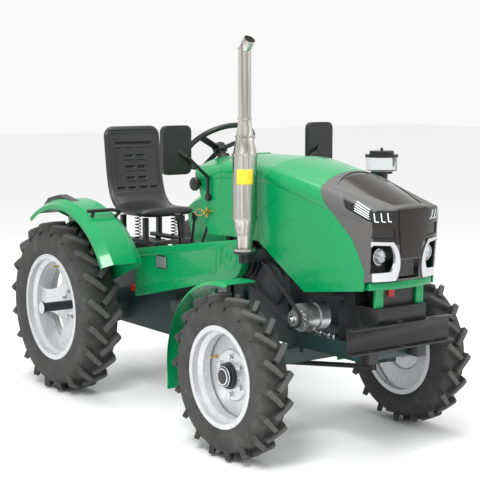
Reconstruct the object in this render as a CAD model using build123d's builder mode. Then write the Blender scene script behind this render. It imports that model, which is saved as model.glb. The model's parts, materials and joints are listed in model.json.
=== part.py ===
"""Small belt-driven farm tractor, built as an assembly of separate pieces.

Frame: millimetres, +Z up, ground at Z = 0. The tractor faces -Y, so +X is its left side.
The origin lies on the ground, halfway along the length and on the centre plane.
Pieces that exist on both sides come from loops over SIDES.
"""
import os
from math import asin, atan2, cos, degrees, radians, sin, sqrt

from build123d import *

os.makedirs("parts", exist_ok=True)

# ---------------------------------------------------------------- driving dimensions
WHEELBASE = 1500.0
FRONT_TRACK = 1016.0
REAR_TRACK = 980.0
NOSE_REACH = 570.0            # front axle to the tip of the nose
FACE_REACH = NOSE_REACH - 4.0          # and to the face behind its raised centre panel
HITCH_REACH = 520.0           # rear axle to the end of the lower links
LENGTH = NOSE_REACH + WHEELBASE + HITCH_REACH
Y_FRONT = NOSE_REACH - LENGTH / 2          # front axle line
Y_REAR = Y_FRONT + WHEELBASE               # rear axle line

CLEAR = 0.3                   # gap left between pieces that seat on each other
PIN_CLEAR = 0.5               # radial gap at pins and shafts

SIDES = (("left", 1), ("right", -1))

# wheels: tread radius, tyre width, bead seat radius, flange height, rim width
FRONT_R, FRONT_W, FRONT_SEAT_R, FRONT_FLANGE, FRONT_RIM_W = 355.0, 148.0, 203.0, 17.0, 125.0
REAR_R, REAR_W, REAR_SEAT_R, REAR_FLANGE, REAR_RIM_W = 437.0, 205.0, 254.0, 19.0, 170.0
RIM_WALL = 5.0

# frame rails, carried at a fixed height over the front axle
RAIL_X0, RAIL_X1 = 110.0, 160.0
RAIL_Z0, RAIL_Z1 = FRONT_R + 85.0, FRONT_R + 155.0
RAIL_FRONT = Y_FRONT - 430.0
RAIL_REAR = Y_FRONT + 1000.0

# front axle and steering
BEAM_Z0, BEAM_END_Z0, BEAM_Z1 = FRONT_R + 17.0, FRONT_R + 47.0, FRONT_R + 83.0
BEAM_HALF_DEPTH = 35.0
KINGPIN_OFFSET = 110.0        # kingpin axis to wheel centre plane
KINGPIN_X = FRONT_TRACK / 2 - KINGPIN_OFFSET
KINGPIN_R = 20.0
EYE_R, EYE_Z0, EYE_Z1 = 34.0, FRONT_R + 45.0, FRONT_R + 135.0
ARM_T = 20.0                  # thickness of a steering arm
ARM_Z = FRONT_R - 55.0        # underside of the lower steering arm plates
TIE_ARM = 130.0               # kingpin to tie rod pin, rearwards
DRAG_ARM = 100.0              # kingpin to drag link pin, inwards; also the pitman arm
ROD_R = 12.0
BALL_EYE_R = 18.0
BALL_PIN_R = 8.0
EYE_HALF = ROD_R + 2.0         # half height of the eye at the end of a rod
STEER_BOX_Y = Y_FRONT + 480.0


def block(x, y, z, mode=Mode.ADD):
    """Add a box that spans the given (low, high) pairs to the part being built."""
    with Locations(((x[0] + x[1]) / 2, (y[0] + y[1]) / 2, (z[0] + z[1]) / 2)):
        Box(x[1] - x[0], y[1] - y[0], z[1] - z[0], mode=mode)


def rod(start, end, radius, mode=Mode.ADD):
    """Add a round bar between two points to the part being built."""
    axis = Vector(*end) - Vector(*start)
    with BuildSketch(Plane(origin=start, z_dir=axis)) as end_face:
        Circle(radius)
    extrude(end_face.sketch, amount=axis.length, mode=mode)


def across(x, y=0.0, z=0.0):
    """Plane that looks along +X from x; its sketch axes are world Y and Z."""
    return Plane(origin=(x, y, z), x_dir=(0, 1, 0), z_dir=(1, 0, 0))


def facing(y, x=0.0, z=0.0):
    """Plane whose sketch axes are world X and Z and whose normal is -Y, to the front."""
    return Plane(origin=(x, y, z), x_dir=(1, 0, 0), z_dir=(0, -1, 0))


def mirrored(x, side):
    """Pair of x values for the given side, lowest first."""
    return tuple(sorted((x[0] * side, x[1] * side)))


# ---------------------------------------------------------------- chassis
with BuildPart() as chassis_rails:
    for name, side in SIDES:
        block(mirrored((RAIL_X0, RAIL_X1), side), (RAIL_FRONT, RAIL_REAR), (RAIL_Z0, RAIL_Z1))
    # cross members: front plate, one behind the engine and one at the gearbox
    for y0, y1 in ((RAIL_FRONT, RAIL_FRONT + 20), (STEER_BOX_Y + 40, STEER_BOX_Y + 80), (RAIL_REAR - 30, RAIL_REAR)):
        block((-RAIL_X0, RAIL_X0), (y0, y1), (RAIL_Z0, RAIL_Z1))
chassis_rails.part.label = "chassis_rails"
export_step(chassis_rails.part, "parts/chassis_rails.step")

# front channel: a C section open to the front, slotted in both flanges
CHANNEL_HALF, CHANNEL_Z0, CHANNEL_Z1 = 286.0, 498.0, 606.0
CHANNEL_WEB_Y = Y_FRONT - 482.0
CHANNEL_DEPTH, CHANNEL_T = 45.0, 8.0
SLOT_R, SLOT_LENGTH, SLOT_PITCH = 7.0, 40.0, 170.0
with BuildPart() as front_channel:
    with BuildSketch(across(-CHANNEL_HALF)):
        with BuildLine():
            Polyline(
                (CHANNEL_WEB_Y - CHANNEL_DEPTH, CHANNEL_Z0),
                (CHANNEL_WEB_Y, CHANNEL_Z0),
                (CHANNEL_WEB_Y, CHANNEL_Z1),
                (CHANNEL_WEB_Y - CHANNEL_DEPTH, CHANNEL_Z1),
                (CHANNEL_WEB_Y - CHANNEL_DEPTH, CHANNEL_Z1 - CHANNEL_T),
                (CHANNEL_WEB_Y - CHANNEL_T, CHANNEL_Z1 - CHANNEL_T),
                (CHANNEL_WEB_Y - CHANNEL_T, CHANNEL_Z0 + CHANNEL_T),
                (CHANNEL_WEB_Y - CHANNEL_DEPTH, CHANNEL_Z0 + CHANNEL_T),
                close=True,
            )
        make_face()
    extrude(amount=2 * CHANNEL_HALF)
    with BuildSketch(Plane.XY.offset(CHANNEL_Z0 - 1)):
        with Locations((0, CHANNEL_WEB_Y - CHANNEL_DEPTH / 2 - CHANNEL_T / 2)):
            with GridLocations(SLOT_PITCH, 1, 3, 1):
                SlotOverall(SLOT_LENGTH, 2 * SLOT_R)
    extrude(amount=CHANNEL_Z1 - CHANNEL_Z0 + 2, mode=Mode.SUBTRACT)
front_channel.part.label = "front_channel"
export_step(front_channel.part, "parts/front_channel.step")

# front bracket: stands on the rails, carries the channel, the battery and the lip legs
BRACKET_HALF, BRACKET_Z1 = 134.0, 672.0
BRACKET_FACE_Y = Y_FRONT - 505.0
BRACKET_T = 8.0
SHELF_REAR = Y_FRONT - 260.0
LEG_X = 112.0
with BuildPart() as front_bracket:
    for name, side in SIDES:
        # stub on the end of the rail, behind the channel's web
        block(mirrored((RAIL_X0, RAIL_X1), side), (CHANNEL_WEB_Y, RAIL_FRONT), (RAIL_Z0, CHANNEL_Z1))
        # side plate above the channel
        block(mirrored((BRACKET_HALF - BRACKET_T, BRACKET_HALF), side),
              (BRACKET_FACE_Y, RAIL_FRONT), (CHANNEL_Z1, BRACKET_Z1))
    block((-BRACKET_HALF, BRACKET_HALF), (BRACKET_FACE_Y, BRACKET_FACE_Y + BRACKET_T), (CHANNEL_Z1, BRACKET_Z1))
    block((-RAIL_X1, RAIL_X1), (CHANNEL_WEB_Y, RAIL_FRONT), (CHANNEL_Z1 - BRACKET_T, CHANNEL_Z1))
    # battery shelf, carried back over the rails
    block((-BRACKET_HALF, BRACKET_HALF), (BRACKET_FACE_Y, SHELF_REAR), (BRACKET_Z1 - BRACKET_T, BRACKET_Z1))
    for name, side in SIDES:
        block(mirrored((BRACKET_HALF - BRACKET_T, BRACKET_HALF), side), (RAIL_FRONT + 40, SHELF_REAR),
              (RAIL_Z1, BRACKET_Z1))
front_bracket.part.label = "front_bracket"
export_step(front_bracket.part, "parts/front_bracket.step")

# lip bar: painted bar under the nose on two legs
LIP_HALF, LIP_Z0, LIP_Z1, LIP_Y = 174.0, 750.0, 781.0, Y_FRONT - 491.0
LIP_SAG, LIP_DEPTH = 35.0, 26.0
with BuildPart() as lip_bar:
    with BuildSketch(Plane.XY.offset(LIP_Z0)):
        with BuildLine():
            ThreePointArc((-LIP_HALF, LIP_Y), (0, LIP_Y - LIP_SAG), (LIP_HALF, LIP_Y))
            Line((LIP_HALF, LIP_Y), (LIP_HALF, LIP_Y + LIP_DEPTH))
            ThreePointArc((LIP_HALF, LIP_Y + LIP_DEPTH), (0, LIP_Y - LIP_SAG + LIP_DEPTH), (-LIP_HALF, LIP_Y + LIP_DEPTH))
            Line((-LIP_HALF, LIP_Y + LIP_DEPTH), (-LIP_HALF, LIP_Y))
        make_face()
    extrude(amount=LIP_Z1 - LIP_Z0)
    for name, side in SIDES:
        block(mirrored((LEG_X - 20, LEG_X + 20), side), (LIP_Y + 2, LIP_Y + 20), (BRACKET_Z1, LIP_Z0 + 5))
lip_bar.part.label = "lip_bar"
export_step(lip_bar.part, "parts/lip_bar.step")

# front axle: beam with an upright eye at each end, on a pivot under the rails
with BuildPart() as front_axle:
    with BuildSketch(facing(Y_FRONT + BEAM_HALF_DEPTH)):
        with BuildLine():
            Polyline(
                (-KINGPIN_X, BEAM_END_Z0), (-KINGPIN_X + 50, BEAM_END_Z0), (-KINGPIN_X + 100, BEAM_Z0),
                (KINGPIN_X - 100, BEAM_Z0), (KINGPIN_X - 50, BEAM_END_Z0), (KINGPIN_X, BEAM_END_Z0),
                (KINGPIN_X, BEAM_Z1), (-KINGPIN_X, BEAM_Z1), close=True)
        make_face()
    extrude(amount=2 * BEAM_HALF_DEPTH)
    for name, side in SIDES:
        rod((side * KINGPIN_X, Y_FRONT, EYE_Z0), (side * KINGPIN_X, Y_FRONT, EYE_Z1), EYE_R)
    # pivot saddle that reaches up between the rails
    block((-RAIL_X1, RAIL_X1), (Y_FRONT - 60, Y_FRONT + 60), (BEAM_Z1 - 20, RAIL_Z0))
    for name, side in SIDES:
        rod((side * KINGPIN_X, Y_FRONT, EYE_Z0 - 1), (side * KINGPIN_X, Y_FRONT, EYE_Z1 + 1),
            KINGPIN_R + PIN_CLEAR, Mode.SUBTRACT)
front_axle.part.label = "front_axle"
export_step(front_axle.part, "parts/front_axle.step")

# ---------------------------------------------------------------- engine and what hangs on it
ENGINE_X0, ENGINE_X1 = -185.0, 150.0
CASE_Y0, ENGINE_Y1 = Y_FRONT + 20.0, Y_FRONT + 420.0      # crankcase
HEAD_Y0, HEAD_Z0 = Y_FRONT - 230.0, 690.0                 # cylinder and head, lying forwards
CASE_Z1 = 930.0
CRANK_Y, CRANK_Z, CRANK_R = Y_FRONT + 300.0, 795.0, 80.0
PULLEY_X0 = -221.0
EXHAUST_X, EXHAUST_Y = -322.0, Y_FRONT + 152.0
EXHAUST_FLANGE_Z = 856.0
ELBOW_R = 27.0
ELBOW_Z = EXHAUST_FLANGE_Z - ELBOW_R
COVER_Y, COVER_Z, COVER_R, COVER_T = Y_FRONT + 130.0, 700.0, 95.0, 14.0      # round cover on the crankcase
with BuildPart() as engine_block:
    block((ENGINE_X0, ENGINE_X1), (CASE_Y0, ENGINE_Y1), (RAIL_Z1, CASE_Z1))
    block((ENGINE_X0 + 25, ENGINE_X1 - 25), (HEAD_Y0, CASE_Y0), (HEAD_Z0, CASE_Z1 - 20))
    # fuel tank on top
    block((ENGINE_X0 + 30, ENGINE_X1 - 30), (CASE_Y0 + 20, ENGINE_Y1 - 20), (CASE_Z1, 1080))
    # exhaust elbow out to the right, under the muffler flange
    rod((ENGINE_X0, EXHAUST_Y, ELBOW_Z), (EXHAUST_X, EXHAUST_Y, ELBOW_Z), ELBOW_R)
    rod((EXHAUST_X, EXHAUST_Y, ELBOW_Z - ELBOW_R), (EXHAUST_X, EXHAUST_Y, EXHAUST_FLANGE_Z), ELBOW_R)
    rod((EXHAUST_X, EXHAUST_Y, EXHAUST_FLANGE_Z - 12), (EXHAUST_X, EXHAUST_Y, EXHAUST_FLANGE_Z), 50)
    rod((ENGINE_X0 - COVER_T, COVER_Y, COVER_Z), (ENGINE_X0, COVER_Y, COVER_Z), COVER_R)
engine_block.part.label = "engine_block"
export_step(engine_block.part, "parts/engine_block.step")

# two pulleys on the right: crankshaft in front, gearbox input behind
INPUT_Y, INPUT_Z, INPUT_R = Y_FRONT + 1060.0, 648.0, 86.0
GEARBOX_X = 130.0
ALTERNATOR_Y, ALTERNATOR_Z, ALTERNATOR_R, ALT_PULLEY_R = Y_FRONT - 63.0, RAIL_Z1 + 67.0, 62.0, 34.0
MAIN_BELT_X = (-203.0, -188.0)
ALT_BELT_X = (-220.0, -206.0)
BELT_T = 9.0
ALT_FACE_X, ALT_REAR_X = -185.0, -60.0
with BuildPart() as drive_pulleys:
    rod((PULLEY_X0, CRANK_Y, CRANK_Z), (ENGINE_X0, CRANK_Y, CRANK_Z), CRANK_R)
    rod((PULLEY_X0, INPUT_Y, INPUT_Z), (ENGINE_X0, INPUT_Y, INPUT_Z), INPUT_R)
    rod((ENGINE_X0, INPUT_Y, INPUT_Z), (-GEARBOX_X, INPUT_Y, INPUT_Z), 30)
drive_pulleys.part.label = "drive_pulleys"
export_step(drive_pulleys.part, "parts/drive_pulleys.step")


def belt_loop(first, second, x_span):
    """Flat loop around two pulleys given as (y, z, radius), seated just outside them."""
    with BuildSketch(across(x_span[0])) as loop:
        for grow, mode in ((BELT_T + CLEAR, Mode.ADD), (CLEAR, Mode.SUBTRACT)):
            with BuildSketch(mode=Mode.PRIVATE) as hull:
                for y, z, radius in (first, second):
                    with Locations((y, z)):
                        Circle(radius + grow)
                make_hull()
            add(hull.sketch_local, mode=mode)
    extrude(loop.sketch, amount=x_span[1] - x_span[0])


with BuildPart() as drive_belts:
    belt_loop((CRANK_Y, CRANK_Z, CRANK_R), (INPUT_Y, INPUT_Z, INPUT_R), MAIN_BELT_X)
    belt_loop((CRANK_Y, CRANK_Z, CRANK_R), (ALTERNATOR_Y, ALTERNATOR_Z, ALT_PULLEY_R), ALT_BELT_X)
drive_belts.part.label = "drive_belts"
export_step(drive_belts.part, "parts/drive_belts.step")

ALT_SLOTS = 10
ALTERNATOR_STEPS = (   # x from, x to, radius
    (ALT_BELT_X[0] - 4, -200.0, ALT_PULLEY_R), (-200.0, ALT_FACE_X, 16.0), (ALT_FACE_X, -150.0, ALTERNATOR_R),
    (-150.0, -110.0, ALTERNATOR_R - 7), (-110.0, ALT_REAR_X, ALTERNATOR_R),
)
with BuildPart() as alternator:
    # pulley and shaft, two finned end shells with a narrower waist between them
    for x0, x1, radius in ALTERNATOR_STEPS:
        rod((x0, ALTERNATOR_Y, ALTERNATOR_Z), (x1, ALTERNATOR_Y, ALTERNATOR_Z), radius)
    # openings round the front shell, through which the fan shows
    with BuildSketch(across(ALT_FACE_X - 1, ALTERNATOR_Y, ALTERNATOR_Z)):
        with PolarLocations(0.66 * ALTERNATOR_R, ALT_SLOTS):
            SlotOverall(0.42 * ALTERNATOR_R, 11)
    extrude(amount=7, mode=Mode.SUBTRACT)
    # foot on the rail
    block((-150, -120), (ALTERNATOR_Y - 30, ALTERNATOR_Y + 30), (RAIL_Z1, ALTERNATOR_Z))
alternator.part.label = "alternator"
export_step(alternator.part, "parts/alternator.step")

# muffler stack: cones and cylinders with a rolled ring at each joint, turned forwards at the mouth
STACK = (   # height above flange, radius
    (0.0, 52.0), (10.0, 52.0), (10.0, 32.0), (69.0, 36.0), (140.0, 53.0), (415.0, 53.0), (493.0, 38.0), (567.0, 28.0),
    (876.0, 28.0),
)
RING_HEIGHTS, RING_W, RING_PROUD = (69.0, 140.0, 415.0, 493.0, 567.0, 868.0), 8.0, 4.0
MOUTH_R, MOUTH_REACH, MOUTH_RISE = 27.0, 34.0, 42.0
with BuildPart() as muffler_stack:
    with BuildSketch(facing(EXHAUST_Y, EXHAUST_X, EXHAUST_FLANGE_Z + CLEAR)):
        with BuildLine():
            Polyline((0, 0), *[(radius, height) for height, radius in STACK], (0, STACK[-1][0]), close=True)
        make_face()
        for ring in RING_HEIGHTS:
            radius = next(r for (h, r) in reversed(STACK) if h <= ring)
            with Locations((radius / 2 + RING_PROUD / 2, ring + RING_W / 2)):
                Rectangle(radius + RING_PROUD, RING_W)
    revolve(axis=Axis((EXHAUST_X, EXHAUST_Y, EXHAUST_FLANGE_Z), (0, 0, 1)))
    bend = (EXHAUST_X, EXHAUST_Y, EXHAUST_FLANGE_Z + CLEAR + STACK[-1][0] - 8)
    mouth = (EXHAUST_X, EXHAUST_Y - MOUTH_REACH, bend[2] + MOUTH_RISE)
    rod(bend, mouth, MOUTH_R)
    rod((bend[0], (bend[1] + mouth[1]) / 2, (bend[2] + mouth[2]) / 2), (mouth[0], mouth[1] - 3.4, mouth[2] + 4.2),
        MOUTH_R - 3, Mode.SUBTRACT)
muffler_stack.part.label = "muffler_stack"
export_step(muffler_stack.part, "parts/muffler_stack.step")

# air intake on the left: canister beside the engine, pipe and clear bowl with its cap
INTAKE_X, INTAKE_Y = 318.0, Y_FRONT - 20.0
BOWL_R, BOWL_Z0, BOWL_Z1 = 70.0, 1190.0, 1250.0
CANISTER_R, CANISTER_Z0, CANISTER_Z1 = 65.0, 780.0, 1010.0
INTAKE_PIPE_Z, INTAKE_PIPE_R = 728.0, 28.0
with BuildPart() as air_intake:
    rod((INTAKE_X, INTAKE_Y, CANISTER_Z0), (INTAKE_X, INTAKE_Y, CANISTER_Z1), CANISTER_R)
    rod((INTAKE_X, INTAKE_Y, CANISTER_Z1), (INTAKE_X, INTAKE_Y, BOWL_Z0), INTAKE_PIPE_R)
    rod((INTAKE_X, INTAKE_Y, BOWL_Z0 - 14), (INTAKE_X, INTAKE_Y, BOWL_Z0), 50)
    for z in (CANISTER_Z0 + 30, CANISTER_Z1 - 40):
        rod((INTAKE_X, INTAKE_Y, z), (INTAKE_X, INTAKE_Y, z + 10), CANISTER_R + 3)
    rod((INTAKE_X, INTAKE_Y, INTAKE_PIPE_Z), (INTAKE_X, INTAKE_Y, CANISTER_Z0), INTAKE_PIPE_R)
    rod((ENGINE_X1 - 25, INTAKE_Y, INTAKE_PIPE_Z), (INTAKE_X + INTAKE_PIPE_R, INTAKE_Y, INTAKE_PIPE_Z), INTAKE_PIPE_R)
air_intake.part.label = "air_intake"
export_step(air_intake.part, "parts/air_intake.step")

with BuildPart() as precleaner_bowl:
    rod((INTAKE_X, INTAKE_Y, BOWL_Z0), (INTAKE_X, INTAKE_Y, BOWL_Z1), BOWL_R)
precleaner_bowl.part.label = "precleaner_bowl"
export_step(precleaner_bowl.part, "parts/precleaner_bowl.step")

with BuildPart() as precleaner_cap:
    rod((INTAKE_X, INTAKE_Y, BOWL_Z1), (INTAKE_X, INTAKE_Y, BOWL_Z1 + 12), BOWL_R + 5)
    rod((INTAKE_X, INTAKE_Y, BOWL_Z1 + 12), (INTAKE_X, INTAKE_Y, BOWL_Z1 + 28), BOWL_R - 15)
    rod((INTAKE_X, INTAKE_Y, BOWL_Z1 + 28), (INTAKE_X, INTAKE_Y, BOWL_Z1 + 42), 6)
precleaner_cap.part.label = "precleaner_cap"
export_step(precleaner_cap.part, "parts/precleaner_cap.step")

# ---------------------------------------------------------------- hood and nose, tilting about the top rear edge
HOOD_REAR = Y_FRONT + 450.0
HOOD_WALL = 5.0
HINGE_Z, HINGE_PIN_R = 1256.0, 3.5
HINGE_Y = HOOD_REAR + 1.0
HINGE_HALF = 45.0
HOOD_FOOT = 690.0
BROW_Z = 1090.0               # top of the front face, where the nose reaches furthest
CROWN_FALL = 0.36             # slope of the nose's top, down towards the front
SECTIONS = (   # y, half width at the foot, half width at the shoulder, shoulder z, edge half width, edge z, crown z
    (HOOD_REAR, 235.0, 232.0, 1150.0, 195.0, 1225.0, HINGE_Z),
    (Y_FRONT + 100.0, 233.0, 230.0, 1150.0, 190.0, 1225.0, 1258.0),
    (Y_FRONT - 250.0, 218.0, 214.0, 1070.0, 170.0, 1155.0, BROW_Z + CROWN_FALL * (FACE_REACH - 250.0)),
    (Y_FRONT - FACE_REACH - 20.0, 190.0, 184.0, 1000.0, 105.0, 1068.0, BROW_Z - CROWN_FALL * 20.0),
)
NOSE_HALF, NOSE_BOW = 200.0, 60.0     # plan of the front face: an arc over this half width, this deep
FACE_LEAN = 0.08                      # the front face falls back this much for each millimetre down

RADIATOR_TOP = 1060.0
PAD_Y = Y_FRONT - 350.0
PAD_Z = BROW_Z + CROWN_FALL * (FACE_REACH - 350.0) - HOOD_WALL - 2 * CLEAR
with BuildPart() as radiator:
    block((-150, 150), (Y_FRONT - 380, Y_FRONT - 310), (BRACKET_Z1, RADIATOR_TOP))
    # post with the pad on which the closed hood rests
    block((-8, 8), (PAD_Y, PAD_Y + 12), (RADIATOR_TOP, PAD_Z))
radiator.part.label = "radiator"
export_step(radiator.part, "parts/radiator.step")

with BuildPart() as battery:
    block((-85, 85), (Y_FRONT - 480, Y_FRONT - 385), (BRACKET_Z1, BRACKET_Z1 + 106))
battery.part.label = "battery"
export_step(battery.part, "parts/battery.step")

def hood_section(row, inset):
    """Closed outline of the hood at one station: straight sides, round shoulders, domed crown."""
    y, foot, shoulder, shoulder_z, edge, edge_z, crown = row
    corner = (shoulder - 0.12 * (shoulder - edge), shoulder_z + 0.72 * (edge_z - shoulder_z))
    outline = (foot - inset, shoulder - inset, edge - inset)
    with BuildSketch(facing(y)) as section:
        with BuildLine():
            Line((-outline[0], HOOD_FOOT), (-outline[1], shoulder_z))
            ThreePointArc((-outline[1], shoulder_z), (-corner[0] + inset, corner[1] - inset * 0.5),
                          (-outline[2], edge_z - inset))
            ThreePointArc((-outline[2], edge_z - inset), (0, crown - inset), (outline[2], edge_z - inset))
            ThreePointArc((outline[2], edge_z - inset), (corner[0] - inset, corner[1] - inset * 0.5),
                          (outline[1], shoulder_z))
            Line((outline[1], shoulder_z), (outline[0], HOOD_FOOT))
            Line((outline[0], HOOD_FOOT), (-outline[0], HOOD_FOOT))
        make_face()
    return section.sketch


# cuts reach past the bodywork to these planes
PAST_SIDE, PAST_FOOT, PAST_TOP = 300.0, 600.0, 1300.0


def hood_solid(inset):
    """The hood and nose as one solid, moved inwards: lofted, bowed in plan and leaning back at the front."""
    with BuildPart() as form:
        loft([hood_section(row, inset) for row in SECTIONS], ruled=True)
        top = BROW_Z + 210.0
        tip = Y_FRONT - FACE_REACH + inset - FACE_LEAN * (top - BROW_Z)
        side = NOSE_HALF + 80
        with BuildSketch(Plane.XY.offset(top)) as plan:
            with BuildLine():
                ThreePointArc((-NOSE_HALF, tip + NOSE_BOW), (0, tip), (NOSE_HALF, tip + NOSE_BOW))
                Polyline((NOSE_HALF, tip + NOSE_BOW), (side, tip + NOSE_BOW + 60), (side, HOOD_REAR + 99),
                         (-side, HOOD_REAR + 99), (-side, tip + NOSE_BOW + 60), (-NOSE_HALF, tip + NOSE_BOW))
            make_face()
        extrude(plan.sketch, amount=top - HOOD_FOOT + 60, dir=(0, FACE_LEAN, -1), mode=Mode.INTERSECT)
    return form.part


def side_prism(points):
    """Prism through the whole width of the hood over a side outline of (y, z) points."""
    with BuildPart() as prism:
        with BuildSketch(across(-PAST_SIDE)):
            with BuildLine():
                Polyline(*points, close=True)
            make_face()
        extrude(amount=2 * PAST_SIDE)
    return prism.part


# seam between the green shell and the nose, from the foot upwards, and the rest of the shell's side outline
SEAM_POINTS = (
    (Y_FRONT - 480.0, 749.0), (Y_FRONT - 486.0, 830.0), (Y_FRONT - 418.0, 950.0), (Y_FRONT - 271.0, 1080.0),
    (Y_FRONT - 200.0, 1170.0), (Y_FRONT - 190.0, 1300.0),
)
HOOD_REST = (
    (HOOD_REAR + 20, 1300.0), (HOOD_REAR + 20, 890.0), (Y_FRONT + 174.0, 890.0), (Y_FRONT - 137.0, 703.0),
)
SEAM = 1.5

hood_skin, hood_core = hood_solid(0), hood_solid(HOOD_WALL)

# pressed panels in the shell's sides: each outline (y, z) sinks everything within it by a further step
PRESS_STEP = 1.6
PRESSED = (
    ((Y_FRONT + 160.0, 1018.0), (Y_FRONT + 49.0, 1090.0), (Y_FRONT - 8.0, 1103.0), (Y_FRONT - 176.0, 1081.0),
     (Y_FRONT - 240.0, 1040.0), (Y_FRONT - 430.0, 860.0), (Y_FRONT - 446.0, 765.0), (Y_FRONT - 146.0, 730.0),
     (Y_FRONT + 140.0, 905.0)),
    ((Y_FRONT + 47.0, 960.0), (Y_FRONT - 50.0, 1012.0), (Y_FRONT - 106.0, 1004.0), (Y_FRONT - 314.0, 927.0),
     (Y_FRONT - 346.0, 882.0), (Y_FRONT - 396.0, 768.0), (Y_FRONT - 150.0, 744.0)),
)
pressings = [side_prism(points) - hood_solid(count * PRESS_STEP) for count, points in enumerate(PRESSED, start=1)]

shell_side = side_prism((*HOOD_REST, *SEAM_POINTS))

with BuildPart() as hood_shell:
    add(hood_skin)
    for pressing in pressings:
        add(pressing, mode=Mode.SUBTRACT)
    add(hood_core, mode=Mode.SUBTRACT)
    add(shell_side, mode=Mode.INTERSECT)
    # notch round the hinge pin
    block((-HINGE_HALF - 2, HINGE_HALF + 2), (HINGE_Y - HINGE_PIN_R - PIN_CLEAR, HOOD_REAR + 5),
          (HINGE_Z - 20, HINGE_Z + 20), Mode.SUBTRACT)
hood_shell.part.label = "hood_shell"
export_step(hood_shell.part, "parts/hood_shell.step")

# openings of the nose. Lamp slot: side outline (y, z); the others: front outlines (x, z) of the left side
LAMP_SLOT_X0 = 97.0
LAMP_SLOT = (
    (Y_FRONT - 337.0, 1126.0), (Y_FRONT - 381.0, 1076.0), (Y_FRONT - 484.0, 1041.0), (Y_FRONT - 600.0, 1002.0),
    (Y_FRONT - 600.0, 1052.0), (Y_FRONT - 483.0, 1093.0),
)
MESH_WINDOW = ((90.0, 1002.0), (174.0, 1014.0), (180.0, 964.0), (84.0, 962.0))
# C shapes round the round lamps: top outer, top inner, bulge, bottom inner, bottom outer
BAY = ((178.0, 938.0), (106.0, 934.0), (84.0, 884.0), (99.0, 826.0), (176.0, 822.0))
BAY_FRAME = ((184.0, 952.0), (97.0, 948.0), (62.0, 878.0), (76.0, 789.0), (172.0, 787.0))
GRILLE_HALF, GRILLE_Z0, GRILLE_Z1 = 56.0, LIP_Z1 + 5.0, 872.0
NOSE_Z0 = LIP_Z1 + 5.0
BACK_Y = Y_FRONT - 470.0       # plate behind the openings
BACK_T = 6.0
MESH_INSET, MESH_T, MESH_BORDER = HOOD_WALL + CLEAR, 3.0, 5.0
TOP_SINK = 3.0
CENTRE_PROUD = 5.0
CENTRE_PANEL = ((-80.0, 1078.0), (80.0, 1078.0), (54.0, 880.0), (-54.0, 880.0))


def lamp_slot(side, shrink):
    """Headlamp slot seen from the side, as a prism from its inner end outwards."""
    with BuildPart() as prism:
        with BuildSketch(across(mirrored((LAMP_SLOT_X0 + shrink, 260), side)[0])):
            with BuildLine():
                Polyline(*LAMP_SLOT, close=True)
            make_face()
            offset(amount=-shrink - 0.001, kind=Kind.INTERSECTION, mode=Mode.REPLACE)
        extrude(amount=260 - LAMP_SLOT_X0 - shrink)
    return prism.part


def front_prism(points, side=1, bulge=None, grow=0.0):
    """Prism back from the nose over a front outline; bulge names the point through which an arc runs."""
    points = [(side * x, z) for x, z in points]
    with BuildPart() as prism:
        with BuildSketch(facing(Y_FRONT - 400)):
            with BuildLine():
                if bulge is None:
                    Polyline(*points, close=True)
                else:
                    before, through, after = points[bulge - 1:bulge + 2]
                    ThreePointArc(before, through, after)
                    Polyline(after, *points[bulge + 2:], *points[:bulge])
            make_face()
            offset(amount=grow + 0.001, kind=Kind.INTERSECTION, mode=Mode.REPLACE)
        extrude(amount=250)
    return prism.part


bays = [front_prism(BAY, side, bulge=2) for name, side in SIDES]
frame_outlines = [front_prism(BAY_FRAME, side, bulge=2) for name, side in SIDES]
windows = [front_prism(MESH_WINDOW, side) for name, side in SIDES]
lamp_slots = [lamp_slot(side, 0) for name, side in SIDES]
lamp_fills = [lamp_slot(side, CLEAR) for name, side in SIDES]
centre_panel = (Pos(0, -CENTRE_PROUD, 0) * hood_skin) & front_prism(CENTRE_PANEL)

# sunk panel on top of the nose: what lies above the skin moved down, within a plan outline
with BuildPart() as top_sink:
    with BuildSketch(Plane.XY.offset(BROW_Z - 100)):
        with BuildLine():
            ThreePointArc((-78, Y_FRONT - 528), (0, Y_FRONT - 542), (78, Y_FRONT - 528))
            Line((78, Y_FRONT - 528), (150, Y_FRONT - 262))
            ThreePointArc((150, Y_FRONT - 262), (0, Y_FRONT - 216), (-150, Y_FRONT - 262))
            Line((-150, Y_FRONT - 262), (-78, Y_FRONT - 528))
        make_face()
    extrude(amount=300)
    with Locations((0, 0, -TOP_SINK)):
        add(hood_skin, mode=Mode.SUBTRACT)

nose_side = side_prism((*[(y - SEAM, z) for y, z in SEAM_POINTS], (Y_FRONT - 650, 1300), (Y_FRONT - 650, 900),
                        (Y_FRONT - 540, SEAM_POINTS[0][1])))
with BuildPart() as nose_cowl:
    add(hood_skin)
    # the centre panel of the face stands proud of the rest
    add(centre_panel)
    add(top_sink.part, mode=Mode.SUBTRACT)
    add(hood_core, mode=Mode.SUBTRACT)
    add(nose_side, mode=Mode.INTERSECT)
    block((-PAST_SIDE, PAST_SIDE), (Y_FRONT - 700, Y_FRONT), (PAST_FOOT, NOSE_Z0), Mode.SUBTRACT)
    for opening in lamp_slots + bays + windows:
        add(opening, mode=Mode.SUBTRACT)
    block((-GRILLE_HALF, GRILLE_HALF), (Y_FRONT - 700, Y_FRONT - 400), (GRILLE_Z0 + 8, GRILLE_Z1), Mode.SUBTRACT)
nose_cowl.part.label = "nose_cowl"
export_step(nose_cowl.part, "parts/nose_cowl.step")

# headlamps fill their slots in the wall of the nose
with BuildPart() as headlamps:
    for fill in lamp_fills:
        add(fill)
    add(hood_skin, mode=Mode.INTERSECT)
    add(hood_core, mode=Mode.SUBTRACT)
headlamps.part.label = "headlamps"
export_step(headlamps.part, "parts/headlamps.step")

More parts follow.
